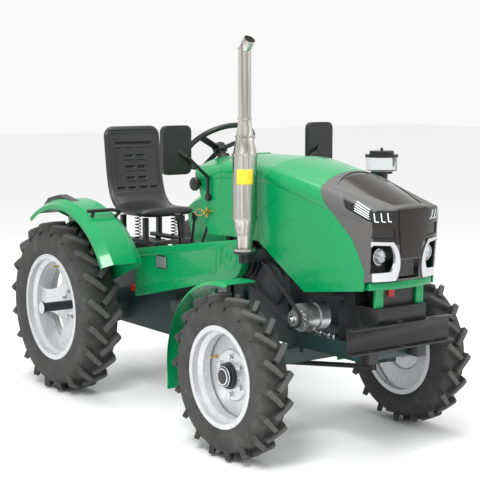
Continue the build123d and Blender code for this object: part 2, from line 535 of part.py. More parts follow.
# bright C frames stand proud round the bays, open towards the side, with a broad foot
FRAME_PROUD = 9.0
with BuildPart() as frame_rings:
    for outline in frame_outlines:
        add(outline)
    for bay in bays:
        add(bay, mode=Mode.SUBTRACT)
    for name, side in SIDES:
        block(mirrored((150, 260), side), (Y_FRONT - 700, Y_FRONT - 300), (824, 932), Mode.SUBTRACT)
with BuildPart() as lamp_frames:
    with Locations((0, -FRAME_PROUD, 0)):
        add(hood_skin)
    add(hood_skin, mode=Mode.SUBTRACT)
    add(frame_rings.part, mode=Mode.INTERSECT)
lamp_frames.part.label = "lamp_frames"
export_step(lamp_frames.part, "parts/lamp_frames.step")

# dark plate behind the openings with the leaning slats in front of it, and the mesh behind the upper windows
SLAT_PITCH, SLAT_W, SLAT_DEPTH = 14.0, 6.0, 34.0
mesh_wall = hood_solid(MESH_INSET) - hood_solid(MESH_INSET + MESH_T)
meshes = [mesh_wall & front_prism(MESH_WINDOW, side, grow=MESH_BORDER) for name, side in SIDES]
with BuildPart() as grille:
    block((-PAST_SIDE, PAST_SIDE), (BACK_Y, BACK_Y + BACK_T), (NOSE_Z0, 960))
    add(hood_core, mode=Mode.INTERSECT)
    with Locations((0, BACK_Y - SLAT_DEPTH / 2, (GRILLE_Z0 + GRILLE_Z1) / 2)):
        with GridLocations(SLAT_PITCH, 1, 7, 1):
            Box(SLAT_W, SLAT_DEPTH, GRILLE_Z1 - GRILLE_Z0 - 20)
    for mesh in meshes:
        add(mesh)
grille.part.label = "grille"
export_step(grille.part, "parts/grille.step")

# round lamps on the plate
ROUND_X, ROUND_Z, ROUND_R = 128.0, 886.0, 34.0
with BuildPart() as round_lamps:
    for name, side in SIDES:
        rod((side * ROUND_X, BACK_Y - 22, ROUND_Z), (side * ROUND_X, BACK_Y, ROUND_Z), ROUND_R)
round_lamps.part.label = "round_lamps"
export_step(round_lamps.part, "parts/round_lamps.step")

# ---------------------------------------------------------------- dash, steering and mirrors
COWL_HALF = 232.0
COWL_FRONT = HOOD_REAR + 2.0
COWL_SECTIONS = (   # same columns as SECTIONS
    (COWL_FRONT, COWL_HALF, COWL_HALF, 1150.0, 195.0, 1225.0, HINGE_Z),
    (Y_FRONT + 710.0, COWL_HALF, COWL_HALF, 1110.0, 195.0, 1190.0, 1232.0),
)
COWL_REAR = ((690.0, 1228.0), (632.0, 1080.0), (560.0, 885.0))       # rear edge from the top down, y from the front axle
HINGE_EAR = 5.0
DASH_Z = 1130.0                # lower edge of the dash panel


def cowl_side(back):
    """Side outline of the cowl, with its rear edge moved forwards by the given amount."""
    with BuildSketch(across(-PAST_SIDE)) as outline:
        with BuildLine():
            Polyline((COWL_FRONT, COWL_REAR[-1][1]), (COWL_FRONT, PAST_TOP),
                     (Y_FRONT + COWL_REAR[0][0] + 24 - back, PAST_TOP),
                     *[(Y_FRONT + y - back, z) for y, z in COWL_REAR], close=True)
        make_face()
    return outline.sketch


with BuildPart() as cowl_core:
    loft([hood_section(row, HOOD_WALL) for row in COWL_SECTIONS], ruled=True)
    extrude(cowl_side(HOOD_WALL), amount=2 * PAST_SIDE, mode=Mode.INTERSECT)
with BuildPart() as dash_cowl:
    loft([hood_section(row, 0) for row in COWL_SECTIONS], ruled=True)
    extrude(cowl_side(0), amount=2 * PAST_SIDE, mode=Mode.INTERSECT)
    add(cowl_core.part, mode=Mode.SUBTRACT)
    block((-COWL_HALF + HOOD_WALL, COWL_HALF - HOOD_WALL), (COWL_FRONT + 1, COWL_FRONT + PAST_SIDE), (PAST_FOOT, DASH_Z),
          Mode.SUBTRACT)
    # hinge pin for the hood, held by two ears
    for name, side in SIDES:
        block(mirrored((HINGE_HALF - HINGE_EAR, HINGE_HALF), side), (HINGE_Y - 2, COWL_FRONT + 14), (HINGE_Z - 14, HINGE_Z))
    rod((-HINGE_HALF, HINGE_Y, HINGE_Z), (HINGE_HALF, HINGE_Y, HINGE_Z), HINGE_PIN_R)
dash_cowl.part.label = "dash_cowl"
export_step(dash_cowl.part, "parts/dash_cowl.step")

WHEEL_HUB = (0.0, Y_FRONT + 806.0, 1271.0)
COLUMN_TILT = 38.0
COLUMN_DIR = (0.0, -sin(radians(COLUMN_TILT)), -cos(radians(COLUMN_TILT)))
STEER_R, STEER_RIM_R = 178.0, 13.0
SPOKE_W, SPOKE_T = 34.0, 12.0


def along_column(distance):
    """Point on the upper steering shaft, measured down from the wheel hub."""
    return tuple(h + distance * d for h, d in zip(WHEEL_HUB, COLUMN_DIR))


UPPER_SHAFT = 340.0
with BuildPart() as steering_column:
    rod(along_column(30 + CLEAR), along_column(UPPER_SHAFT), 22)
    rod(along_column(60), along_column(165), 34)
    rod(along_column(UPPER_SHAFT), (0, STEER_BOX_Y, RAIL_Z1), 16)
    # steering gear housing between the rails
    block((-45, 45), (STEER_BOX_Y - 40, STEER_BOX_Y + 40), (RAIL_Z0, RAIL_Z1))
    rod((0, STEER_BOX_Y, RAIL_Z0), (0, STEER_BOX_Y, ARM_Z + ARM_T + CLEAR), 30)
    # uprights from the rails to the cowl, and the bar between them that holds the column
    for name, side in SIDES:
        block(mirrored((120, 150), side), (Y_FRONT + 500, Y_FRONT + 530), (RAIL_Z1, 1190))
    block((-120, 120), (Y_FRONT + 500, Y_FRONT + 530), (960, 1000))
    block((-30, 30), (Y_FRONT + 520, along_column(UPPER_SHAFT)[1] + 20), (960, 1000))
    # brackets out to the cowl's sides
    for name, side in SIDES:
        block(mirrored((150, COWL_HALF - HOOD_WALL), side), (Y_FRONT + 500, Y_FRONT + 530), (1020, 1050))
steering_column.part.label = "steering_column"
export_step(steering_column.part, "parts/steering_column.step")

wheel_plane = Plane(origin=WHEEL_HUB, x_dir=(1, 0, 0), z_dir=tuple(-d for d in COLUMN_DIR))
with BuildPart() as steering_wheel:
    with BuildSketch(Plane(origin=WHEEL_HUB, x_dir=(1, 0, 0), z_dir=wheel_plane.y_dir)):
        with Locations((STEER_R, 0)):
            Circle(STEER_RIM_R)
    revolve(axis=Axis(WHEEL_HUB, tuple(-d for d in COLUMN_DIR)))
    rod(along_column(30), along_column(-4), 34)
    rod(along_column(-4), along_column(-12), 26)
    # three flat spokes that rise from the hub to the rim
    for angle in (90, 210, 330):
        outward = wheel_plane.x_dir * cos(radians(angle)) + wheel_plane.y_dir * sin(radians(angle))
        start, tip = Vector(*along_column(16)), Vector(*WHEEL_HUB) + outward * STEER_R
        with BuildSketch(Plane(origin=start, x_dir=wheel_plane.z_dir.cross(outward), z_dir=tip - start)) as spoke:
            RectangleRounded(SPOKE_W, SPOKE_T, SPOKE_T / 2 - 0.5)
        extrude(spoke.sketch, amount=(tip - start).length)
steering_wheel.part.label = "steering_wheel"
export_step(steering_wheel.part, "parts/steering_wheel.step")

# mirrors: head facing rearwards on a bent arm from the cowl
MIRROR_X, MIRROR_Y, MIRROR_Z = 420.0, Y_FRONT + 560.0, 1280.0
MIRROR_W, MIRROR_H, MIRROR_T = 152.0, 222.0, 28.0
with BuildPart() as mirrors:
    for name, side in SIDES:
        with BuildSketch(facing(MIRROR_Y, side * MIRROR_X, MIRROR_Z)):
            RectangleRounded(MIRROR_W, MIRROR_H, 30)
        extrude(amount=MIRROR_T)
        # the glass lies behind a raised rim
        with BuildSketch(facing(MIRROR_Y, side * MIRROR_X, MIRROR_Z)):
            RectangleRounded(MIRROR_W - 14, MIRROR_H - 14, 24)
        extrude(amount=4, mode=Mode.SUBTRACT)
        start = (side * (COWL_HALF + CLEAR), Y_FRONT + 545, 1055)
        rod(start, (side * (COWL_HALF + 20), Y_FRONT + 545, 1055), 16)
        rod((side * (COWL_HALF + 14), Y_FRONT + 545, 1055), (side * (COWL_HALF + 14), Y_FRONT + 545, 1150), 8)
        rod((side * (COWL_HALF + 14), Y_FRONT + 545, 1150), (side * (MIRROR_X - 40), MIRROR_Y - MIRROR_T - 20, 1250), 8)
        rod((side * (MIRROR_X - 40), MIRROR_Y - MIRROR_T - 20, 1250),
            (side * MIRROR_X, MIRROR_Y - MIRROR_T + 4, MIRROR_Z), 8)
mirrors.part.label = "mirrors"
export_step(mirrors.part, "parts/mirrors.step")

# ---------------------------------------------------------------- belt guard and platforms
GUARD_X0, GUARD_X1, GUARD_WALL = -265.0, -224.0, 3.0
GUARD_PANEL = ((1120.0, 560.0), (1118.0, 722.0), (450.0, 836.0), (450.0, 716.0))
GUARD_SIDE = ((1166.0, 508.0), (1162.0, 754.0), (300.0, 884.0), (252.0, 800.0), (325.0, 703.0))


def guard_outline(x, shrink):
    """Side outline of the belt guard on the plane at x, moved inwards by the given amount."""
    rear_foot, rear_top, front_top, tip, front_foot = [(Y_FRONT + y, z) for y, z in GUARD_SIDE]
    with BuildSketch(across(x)) as outline:
        with BuildLine():
            Line(rear_foot, rear_top)
            Line(rear_top, front_top)
            ThreePointArc(front_top, tip, front_foot)
            Line(front_foot, rear_foot)
        make_face()
        offset(amount=-shrink, kind=Kind.INTERSECTION, mode=Mode.REPLACE)
    return outline.sketch


BEAD_T, BEAD_W = 2.0, 6.0      # raised beads on the guard's face
BOSS_Y, BOSS_Z, BOSS_R = Y_FRONT + 350.0, 802.0, 62.0
with BuildPart() as belt_guard:
    extrude(guard_outline(GUARD_X0, 0.001), amount=GUARD_X1 - GUARD_X0)
    # a bead round a long panel and another round the boss in front of the crankshaft
    with BuildSketch(across(GUARD_X0 - BEAD_T)):
        with BuildLine():
            Polyline(*[(Y_FRONT + y, z) for y, z in GUARD_PANEL], close=True)
        make_face()
        offset(amount=-BEAD_W, kind=Kind.INTERSECTION, mode=Mode.SUBTRACT)
        with Locations((BOSS_Y, BOSS_Z)):
            Circle(BOSS_R)
            Circle(BOSS_R - BEAD_W, mode=Mode.SUBTRACT)
            Circle(BOSS_R / 3)
            Circle(BOSS_R / 3 - BEAD_W, mode=Mode.SUBTRACT)
    extrude(amount=BEAD_T + 1)
    extrude(guard_outline(GUARD_X0 + GUARD_WALL, GUARD_WALL), amount=GUARD_X1 - GUARD_X0, mode=Mode.SUBTRACT)
    # feet that reach in to the rail and the gearbox
    block((GUARD_X0 + 2, -GEARBOX_X), (Y_FRONT + 1144, Y_FRONT + 1164), (515, 540))
    block((GUARD_X0 + 2, GUARD_X0 + 8), (Y_FRONT + 470, Y_FRONT + 500), (485, 675))
    block((GUARD_X0 + 2, -RAIL_X1), (Y_FRONT + 470, Y_FRONT + 500), (485, 495))
belt_guard.part.label = "belt_guard"
export_step(belt_guard.part, "parts/belt_guard.step")

# foot platforms on the rails, the right one inside the belt guard
PLATFORM_Y0, PLATFORM_Y1, PLATFORM_T = Y_FRONT + 640.0, Y_FRONT + 980.0, 4.0
with BuildPart() as foot_platforms:
    for x in ((100.0, 330.0), (-182.0, -100.0)):
        block(x, (PLATFORM_Y0, PLATFORM_Y1), (RAIL_Z1, RAIL_Z1 + PLATFORM_T))
    for y in (PLATFORM_Y0 + 20, PLATFORM_Y1 - 60):
        block((RAIL_X1, 320), (y, y + 40), (RAIL_Z1 - 30, RAIL_Z1))
foot_platforms.part.label = "foot_platforms"
export_step(foot_platforms.part, "parts/foot_platforms.step")

# red lamp behind the guard's rear edge
LAMP_Y, LAMP_Z, LAMP_R = Y_FRONT + 1194.0, 548.0, 17.0
with BuildPart() as side_lamp:
    rod((GUARD_X0 - 6, LAMP_Y, LAMP_Z), (GUARD_X0 + 20, LAMP_Y, LAMP_Z), LAMP_R)
    block((GUARD_X0 + 8, GUARD_X0 + 14), (Y_FRONT + 1166 + CLEAR, LAMP_Y), (LAMP_Z - 8, LAMP_Z + 8))
side_lamp.part.label = "side_lamp"
export_step(side_lamp.part, "parts/side_lamp.step")

# ---------------------------------------------------------------- gearbox, rear axle, lift housing
GEARBOX_Y0, GEARBOX_Y1 = RAIL_REAR + CLEAR, Y_REAR + 150.0
AXLE_Z = REAR_R
GEARBOX_Z0, GEARBOX_Z1 = AXLE_Z - 127.0, AXLE_Z + 203.0
HOUSING_END_X, HOUSING_R = 385.0, 60.0
AXLE_SHAFT_R, AXLE_END_X = 23.0, 624.0
LIFT_Y, LIFT_Z, LIFT_R = Y_REAR + 110.0, AXLE_Z + 253.0, 32.0
LIFT_SHAFT_X = 175.0
LINK_PIN_Y, LINK_PIN_Z = Y_REAR + 40.0, AXLE_Z - 97.0
PTO_Z = AXLE_Z + 83.0
with BuildPart() as transmission:
    block((-GEARBOX_X, GEARBOX_X), (GEARBOX_Y0, GEARBOX_Y1), (GEARBOX_Z0, GEARBOX_Z1))
    block((-GEARBOX_X + 20, GEARBOX_X - 20), (Y_REAR - 60, GEARBOX_Y1 + 20), (GEARBOX_Z1, LIFT_Z + 50))
    rod((-HOUSING_END_X, Y_REAR, AXLE_Z), (HOUSING_END_X, Y_REAR, AXLE_Z), HOUSING_R)
    for name, side in SIDES:
        rod((side * (HOUSING_END_X + 1), Y_REAR, AXLE_Z), (side * (HOUSING_END_X - 60), Y_REAR, AXLE_Z),
            AXLE_SHAFT_R + PIN_CLEAR, Mode.SUBTRACT)
        # lug for the lower link pin, under the housing
        block(mirrored((150, 170), side), (LINK_PIN_Y - 25, LINK_PIN_Y + 25), (LINK_PIN_Z - 25, AXLE_Z))
        rod((side * 150, LINK_PIN_Y, LINK_PIN_Z), (side * 226, LINK_PIN_Y, LINK_PIN_Z), 11)
    rod((-LIFT_SHAFT_X - 30, LIFT_Y, LIFT_Z), (LIFT_SHAFT_X + 30, LIFT_Y, LIFT_Z), 18)
    rod((0, GEARBOX_Y1, PTO_Z), (0, GEARBOX_Y1 + 20, PTO_Z), 45)
    rod((0, GEARBOX_Y1 + 20, PTO_Z), (0, GEARBOX_Y1 + 95, PTO_Z), 17.5)
transmission.part.label = "transmission"
export_step(transmission.part, "parts/transmission.step")

with BuildPart() as drawbar:
    block((-30, 30), (Y_REAR - 100, GEARBOX_Y1 + 160), (GEARBOX_Z0 - 22, GEARBOX_Z0))
    with Locations((0, GEARBOX_Y1 + 125, GEARBOX_Z0 - 11)):
        Cylinder(12.5, 40, mode=Mode.SUBTRACT)
drawbar.part.label = "drawbar"
export_step(drawbar.part, "parts/drawbar.step")

# rear fenders: a pressed sheet turned about a point ahead of the axle, and an inner wall that stands on the housing
FENDER_Y, FENDER_Z, FENDER_R, FENDER_T = Y_REAR - 135.0, AXLE_Z + 13.0, REAR_R + 88.0, 4.0
FENDER_X0, FENDER_X1 = REAR_TRACK / 2 - 114.0, REAR_TRACK / 2 + 110.0
FENDER_FRONT, FENDER_REAR = 150.0, 56.0          # angles of its ends, from the rear horizontal
FENDER_RISE = 27.0
FENDER_SECTION = (   # x, radius: from the lower edge of the outer lip over the crest to the inner wall
    (FENDER_X1, FENDER_R - 20), (FENDER_X1, FENDER_R), (FENDER_X1 - 45, FENDER_R + FENDER_RISE),
    (FENDER_X0 + 50, FENDER_R + FENDER_RISE), (FENDER_X0, FENDER_R - 8),
)
CREST_R = FENDER_R + FENDER_RISE


def on_fender(x, radius, angle):
    """Point over the rear fender, at a radius and an angle from the rear horizontal."""
    return (x, FENDER_Y + radius * cos(radians(angle)), FENDER_Z + radius * sin(radians(angle)))


with BuildPart() as rear_fenders:
    for name, side in SIDES:
        start = Plane(origin=(0, FENDER_Y, FENDER_Z), x_dir=(1, 0, 0),
                      z_dir=(0, -sin(radians(FENDER_REAR)), cos(radians(FENDER_REAR))))
        with BuildSketch(start):
            with BuildLine():
                outer = [(side * x, r) for x, r in FENDER_SECTION]
                inner = [(side * (x - (FENDER_T if x == FENDER_X1 else 0)), r - (FENDER_T if x < FENDER_X1 else 0))
                         for x, r in reversed(FENDER_SECTION)]
                Polyline(*outer, *inner, close=True)
            make_face()
        revolve(axis=Axis((0, FENDER_Y, FENDER_Z), (1, 0, 0)), revolution_arc=FENDER_FRONT - FENDER_REAR)
        # inner wall between the sheet and a level edge
        foot_z = AXLE_Z + HOUSING_R + CLEAR - FENDER_Z
        edge_r = FENDER_R - 10
        ends = [(edge_r * cos(radians(angle)), edge_r * sin(radians(angle))) for angle in (FENDER_REAR, FENDER_FRONT)]
        with BuildSketch(across(mirrored((FENDER_X0, FENDER_X0 + FENDER_T), side)[0], FENDER_Y, FENDER_Z)):
            with BuildLine():
                CenterArc((0, 0), edge_r, FENDER_REAR, FENDER_FRONT - FENDER_REAR)
                Polyline(ends[0], (180, foot_z), (90, foot_z), ends[1])
            make_face()
        extrude(amount=FENDER_T)
rear_fenders.part.label = "rear_fenders"
export_step(rear_fenders.part, "parts/rear_fenders.step")

# grab handles across the front of the crest, the inner end bent down onto the shoulder
HANDLE_ANGLE, HANDLE_RISE, HANDLE_R, HANDLE_REACH = 118.0, 32.0, 9.0, 38.0
HANDLE_X0, HANDLE_FOOT_X, HANDLE_BEND_X = FENDER_X1 - 23.0, FENDER_X1 - 58.0, FENDER_X0 + 64.0
SHOULDER_RUN, SHOULDER_FALL = 50.0, FENDER_RISE + 8.0
SHOULDER_X = FENDER_X0 + 34.0
SHOULDER_R = CREST_R - SHOULDER_FALL * (FENDER_X0 + SHOULDER_RUN - SHOULDER_X) / SHOULDER_RUN
SHOULDER_TILT = atan2(SHOULDER_FALL, SHOULDER_RUN)


def off_shoulder(side, height):
    """Point at a height square to the shoulder of the rear fender, where the handle's inner foot stands."""
    return on_fender(side * (SHOULDER_X - height * sin(SHOULDER_TILT)), SHOULDER_R + height * cos(SHOULDER_TILT),
                     HANDLE_ANGLE)


with BuildPart() as fender_handles:
    for name, side in SIDES:
        top_r = CREST_R + HANDLE_RISE
        bend = on_fender(side * HANDLE_BEND_X, top_r, HANDLE_ANGLE)
        rod(on_fender(side * HANDLE_X0, top_r, HANDLE_ANGLE), bend, HANDLE_R)
        rod(bend, off_shoulder(side, HANDLE_REACH), HANDLE_R)
        rod(off_shoulder(side, CLEAR), off_shoulder(side, HANDLE_REACH + 4), HANDLE_R)
        rod(on_fender(side * HANDLE_FOOT_X, CREST_R + CLEAR, HANDLE_ANGLE),
            on_fender(side * HANDLE_FOOT_X, top_r, HANDLE_ANGLE), HANDLE_R)
fender_handles.part.label = "fender_handles"
export_step(fender_handles.part, "parts/fender_handles.step")

# low pads on the rear of the crest
PAD_X0, PAD_X1 = FENDER_X1 - 92.0, FENDER_X1 - 48.0
PAD_OUTLINE = ((64.0, 0.0), (72.0, 22.0), (84.0, 22.0), (99.0, 0.0))     # angle, height over the crest
with BuildPart() as fender_pads:
    for name, side in SIDES:
        with BuildSketch(across(mirrored((PAD_X0, PAD_X1), side)[0], FENDER_Y, FENDER_Z)):
            with BuildLine():
                Polyline(*[((CREST_R + rise) * cos(radians(angle)), (CREST_R + rise) * sin(radians(angle)))
                           for angle, rise in PAD_OUTLINE], close=True)
            make_face()
            Circle(CREST_R + CLEAR, mode=Mode.SUBTRACT)
        extrude(amount=PAD_X1 - PAD_X0)
fender_pads.part.label = "fender_pads"
export_step(fender_pads.part, "parts/fender_pads.step")

# ---------------------------------------------------------------- seat and levers
SEAT_HALF, SEAT_Y0, SEAT_Y1 = 175.0, Y_REAR - 245.0, Y_REAR + 100.0
SEAT_Z0, SEAT_Z1, SEAT_TOP = 885.0, 938.0, 1352.0
SEAT_PROFILE = (   # y from the front edge, z from the underside: lines, with an arc into and out of the back
    (18.0, 0.0), (0.0, 20.0), (22.0, 53.0), (235.0, 42.0), (308.0, 120.0), (352.0, 440.0), (375.0, 467.0),
    (392.0, 440.0), (352.0, 110.0), (270.0, 0.0),
)
BACK_RECESS, BACK_SLOT, PAN_RECESS = 6.0, (27.0, 6.0), 5.0
BACK_SLOTS = ((-51.0, -17.0, 17.0, 51.0), (-17.0, 17.0), (-17.0, 17.0), (-17.0, 17.0), (-51.0, -17.0, 17.0, 51.0))
SLOT_ROW_PITCH = 34.0
with BuildPart() as seat:
    with BuildSketch(across(-SEAT_HALF, SEAT_Y0, SEAT_Z0)):
        with BuildLine():
            nose_foot, nose, nose_top, pan_rear, back_foot, back_top, crown, rear_top, rear_foot, pan_foot = SEAT_PROFILE
            ThreePointArc(nose_foot, nose, nose_top)
            Line(nose_top, pan_rear)
            TangentArc(pan_rear, back_foot, tangent=(pan_rear[0] - nose_top[0], pan_rear[1] - nose_top[1]))
            Line(back_foot, back_top)
            ThreePointArc(back_top, crown, rear_top)
            Line(rear_top, rear_foot)
            ThreePointArc(rear_foot, (325.0, 34.0), pan_foot)
            Line(pan_foot, nose_foot)
        make_face()
    extrude(amount=2 * SEAT_HALF)
    # rounded corners of the back, seen from the front, and of the pan, seen from above
    with BuildSketch(facing(SEAT_Y1 + 100, 0, (SEAT_Z0 + SEAT_TOP) / 2 - 100)):
        RectangleRounded(2 * SEAT_HALF, SEAT_TOP - SEAT_Z0 + 200, 62)
    extrude(amount=600, mode=Mode.INTERSECT)
    with BuildSketch(Plane.XY.offset(SEAT_Z0 - 20)):
        with Locations((0, (SEAT_Y0 + SEAT_Y1) / 2 + 100)):
            RectangleRounded(2 * SEAT_HALF, SEAT_Y1 - SEAT_Y0 + 200, 55)
    extrude(amount=600, mode=Mode.INTERSECT)
    # sunk panel with slots in the back, inside a raised border
    lean = Vector(0, SEAT_PROFILE[5][0] - SEAT_PROFILE[4][0], SEAT_PROFILE[5][1] - SEAT_PROFILE[4][1])
    face = Plane(origin=(0, SEAT_Y0 + (SEAT_PROFILE[4][0] + SEAT_PROFILE[5][0]) / 2,
                         SEAT_Z0 + (SEAT_PROFILE[4][1] + SEAT_PROFILE[5][1]) / 2),
                 x_dir=(1, 0, 0), z_dir=lean.cross(Vector(1, 0, 0)) * -1)
    with BuildSketch(face):
        RectangleRounded(2 * SEAT_HALF - 62, 268, 34)
    extrude(amount=-BACK_RECESS, mode=Mode.SUBTRACT)
    with BuildSketch(face):
        for row, columns in enumerate(BACK_SLOTS):
            with Locations(*[(x, (2 - row) * SLOT_ROW_PITCH) for x in columns]):
                Rectangle(*BACK_SLOT)
    extrude(amount=-BACK_RECESS - 9, mode=Mode.SUBTRACT)
    with BuildSketch(Plane.XY.offset(SEAT_Z1 + 20)):
        with Locations((0, SEAT_Y0 + 140)):
            RectangleRounded(2 * SEAT_HALF - 70, 190, 40)
    extrude(amount=-20 - 5 - PAN_RECESS, mode=Mode.SUBTRACT)
seat.part.label = "seat"
export_step(seat.part, "parts/seat.step")

with BuildPart() as seat_frame:
    for name, side in SIDES:
        block(mirrored((100, 125), side), (SEAT_Y0 + 40, SEAT_Y0 + 65), (LIFT_Z + 80, SEAT_Z0 - CLEAR))
        block(mirrored((100, 125), side), (SEAT_Y1 - 80, SEAT_Y1 - 55), (LIFT_Z + 80, SEAT_Z0 - CLEAR))
        block(mirrored((95, 130), side), (SEAT_Y0 - 40, SEAT_Y1), (LIFT_Z + 60, LIFT_Z + 80))
        block(mirrored((90, 130), side), (SEAT_Y0 - 40, SEAT_Y0 - 10), (GEARBOX_Z1 + CLEAR, LIFT_Z + 60))
        block(mirrored((112, 130), side), (SEAT_Y1 - 60, SEAT_Y1 - 30), (GEARBOX_Z1 + CLEAR, LIFT_Z + 60))
    block((-95, 95), (SEAT_Y0 - 40, SEAT_Y0 - 10), (LIFT_Z + 60, LIFT_Z + 80))
seat_frame.part.label = "seat_frame"
export_step(seat_frame.part, "parts/seat_frame.step")

with BuildPart() as control_levers:
    block((-60, 60), (GEARBOX_Y0 + 20, GEARBOX_Y0 + 120), (GEARBOX_Z1 + CLEAR, GEARBOX_Z1 + 30))
    for x, lean in ((-40, -60), (0, 0), (40, 60)):
        rod((x, GEARBOX_Y0 + 70, GEARBOX_Z1 + 25), (x + lean, GEARBOX_Y0 + 20, GEARBOX_Z1 + 260), 7)
        rod((x + lean, GEARBOX_Y0 + 20, GEARBOX_Z1 + 255), (x + lean * 1.04, GEARBOX_Y0 + 17, GEARBOX_Z1 + 290), 15)
control_levers.part.label = "control_levers"
export_step(control_levers.part, "parts/control_levers.step")

# ---------------------------------------------------------------- three-point linkage
LIFT_ARM = 230.0              # lift shaft to lift rod pin; also lower link pin to lift rod pin
LINK_END_Y = Y_REAR + HITCH_REACH
LINK_T = 22.0
ROD_PIN_R = 9.0
LIFT_PIN_Y = LIFT_Y + LIFT_ARM
with BuildPart() as lift_arms:
    for name, side in SIDES:
        x = mirrored((LIFT_SHAFT_X, LIFT_SHAFT_X + LINK_T), side)
        with BuildSketch(across(x[0])):
            with BuildLine():
                Polyline((LIFT_Y, LIFT_Z - 30), (LIFT_PIN_Y, LIFT_Z - 18), (LIFT_PIN_Y, LIFT_Z + 18),
                         (LIFT_Y, LIFT_Z + 30), close=True)
            make_face()
            with Locations((LIFT_Y, LIFT_Z)):
                Circle(LIFT_R)
            with Locations((LIFT_PIN_Y, LIFT_Z)):
                Circle(18)
            with Locations((LIFT_Y, LIFT_Z)):
                Circle(18 + PIN_CLEAR, mode=Mode.SUBTRACT)
        extrude(amount=LINK_T)
        rod((side * LIFT_SHAFT_X, LIFT_PIN_Y, LIFT_Z), (side * (LIFT_SHAFT_X + LINK_T + 24), LIFT_PIN_Y, LIFT_Z), ROD_PIN_R)
lift_arms.part.label = "lift_arms"
export_step(lift_arms.part, "parts/lift_arms.step")

LINK_PIN_R, LINK_BORE_R = 11.0, 11.2
LINK_ROD_Y = LINK_PIN_Y + LIFT_ARM
LINK_X0 = 175.0
with BuildPart() as lower_links:
    for name, side in SIDES:
        x = mirrored((LINK_X0, LINK_X0 + LINK_T), side)
        with BuildSketch(across(x[0])):
            with BuildLine():
                Polyline((LINK_PIN_Y, LINK_PIN_Z - 22), (LINK_END_Y - 24, LINK_PIN_Z - 22),
                         (LINK_END_Y - 24, LINK_PIN_Z + 22), (LINK_PIN_Y, LINK_PIN_Z + 22), close=True)
            make_face()
            with Locations((LINK_PIN_Y, LINK_PIN_Z), (LINK_END_Y - 24, LINK_PIN_Z)):
                Circle(24)
            with Locations((LINK_PIN_Y, LINK_PIN_Z)):
                Circle(LINK_PIN_R + PIN_CLEAR, mode=Mode.SUBTRACT)
            with Locations((LINK_END_Y - 24, LINK_PIN_Z)):
                Circle(LINK_BORE_R, mode=Mode.SUBTRACT)
        extrude(amount=LINK_T)
        rod((side * (LINK_X0 + LINK_T), LINK_ROD_Y, LINK_PIN_Z), (side * (LINK_X0 + LINK_T + 24), LINK_ROD_Y, LINK_PIN_Z),
            ROD_PIN_R)
lower_links.part.label = "lower_links"
export_step(lower_links.part, "parts/lower_links.step")

# lift rods stay parallel to themselves while the arms and links swing together
ROD_X0 = LIFT_SHAFT_X + LINK_T + 2.0
ROD_EYE_T = 20.0
with BuildPart() as lift_rods:
    for name, side in SIDES:
        for y, z in ((LIFT_PIN_Y, LIFT_Z), (LINK_ROD_Y, LINK_PIN_Z)):
            rod((side * ROD_X0, y, z), (side * (ROD_X0 + ROD_EYE_T), y, z), 20)
        x = side * (ROD_X0 + ROD_EYE_T / 2)
        rod((x, LIFT_PIN_Y, LIFT_Z), (x, LINK_ROD_Y, LINK_PIN_Z), 9)
        for y, z in ((LIFT_PIN_Y, LIFT_Z), (LINK_ROD_Y, LINK_PIN_Z)):
            rod((side * (ROD_X0 - 1), y, z), (side * (ROD_X0 + ROD_EYE_T + 1), y, z), ROD_PIN_R + PIN_CLEAR, Mode.SUBTRACT)
lift_rods.part.label = "lift_rods"
export_step(lift_rods.part, "parts/lift_rods.step")

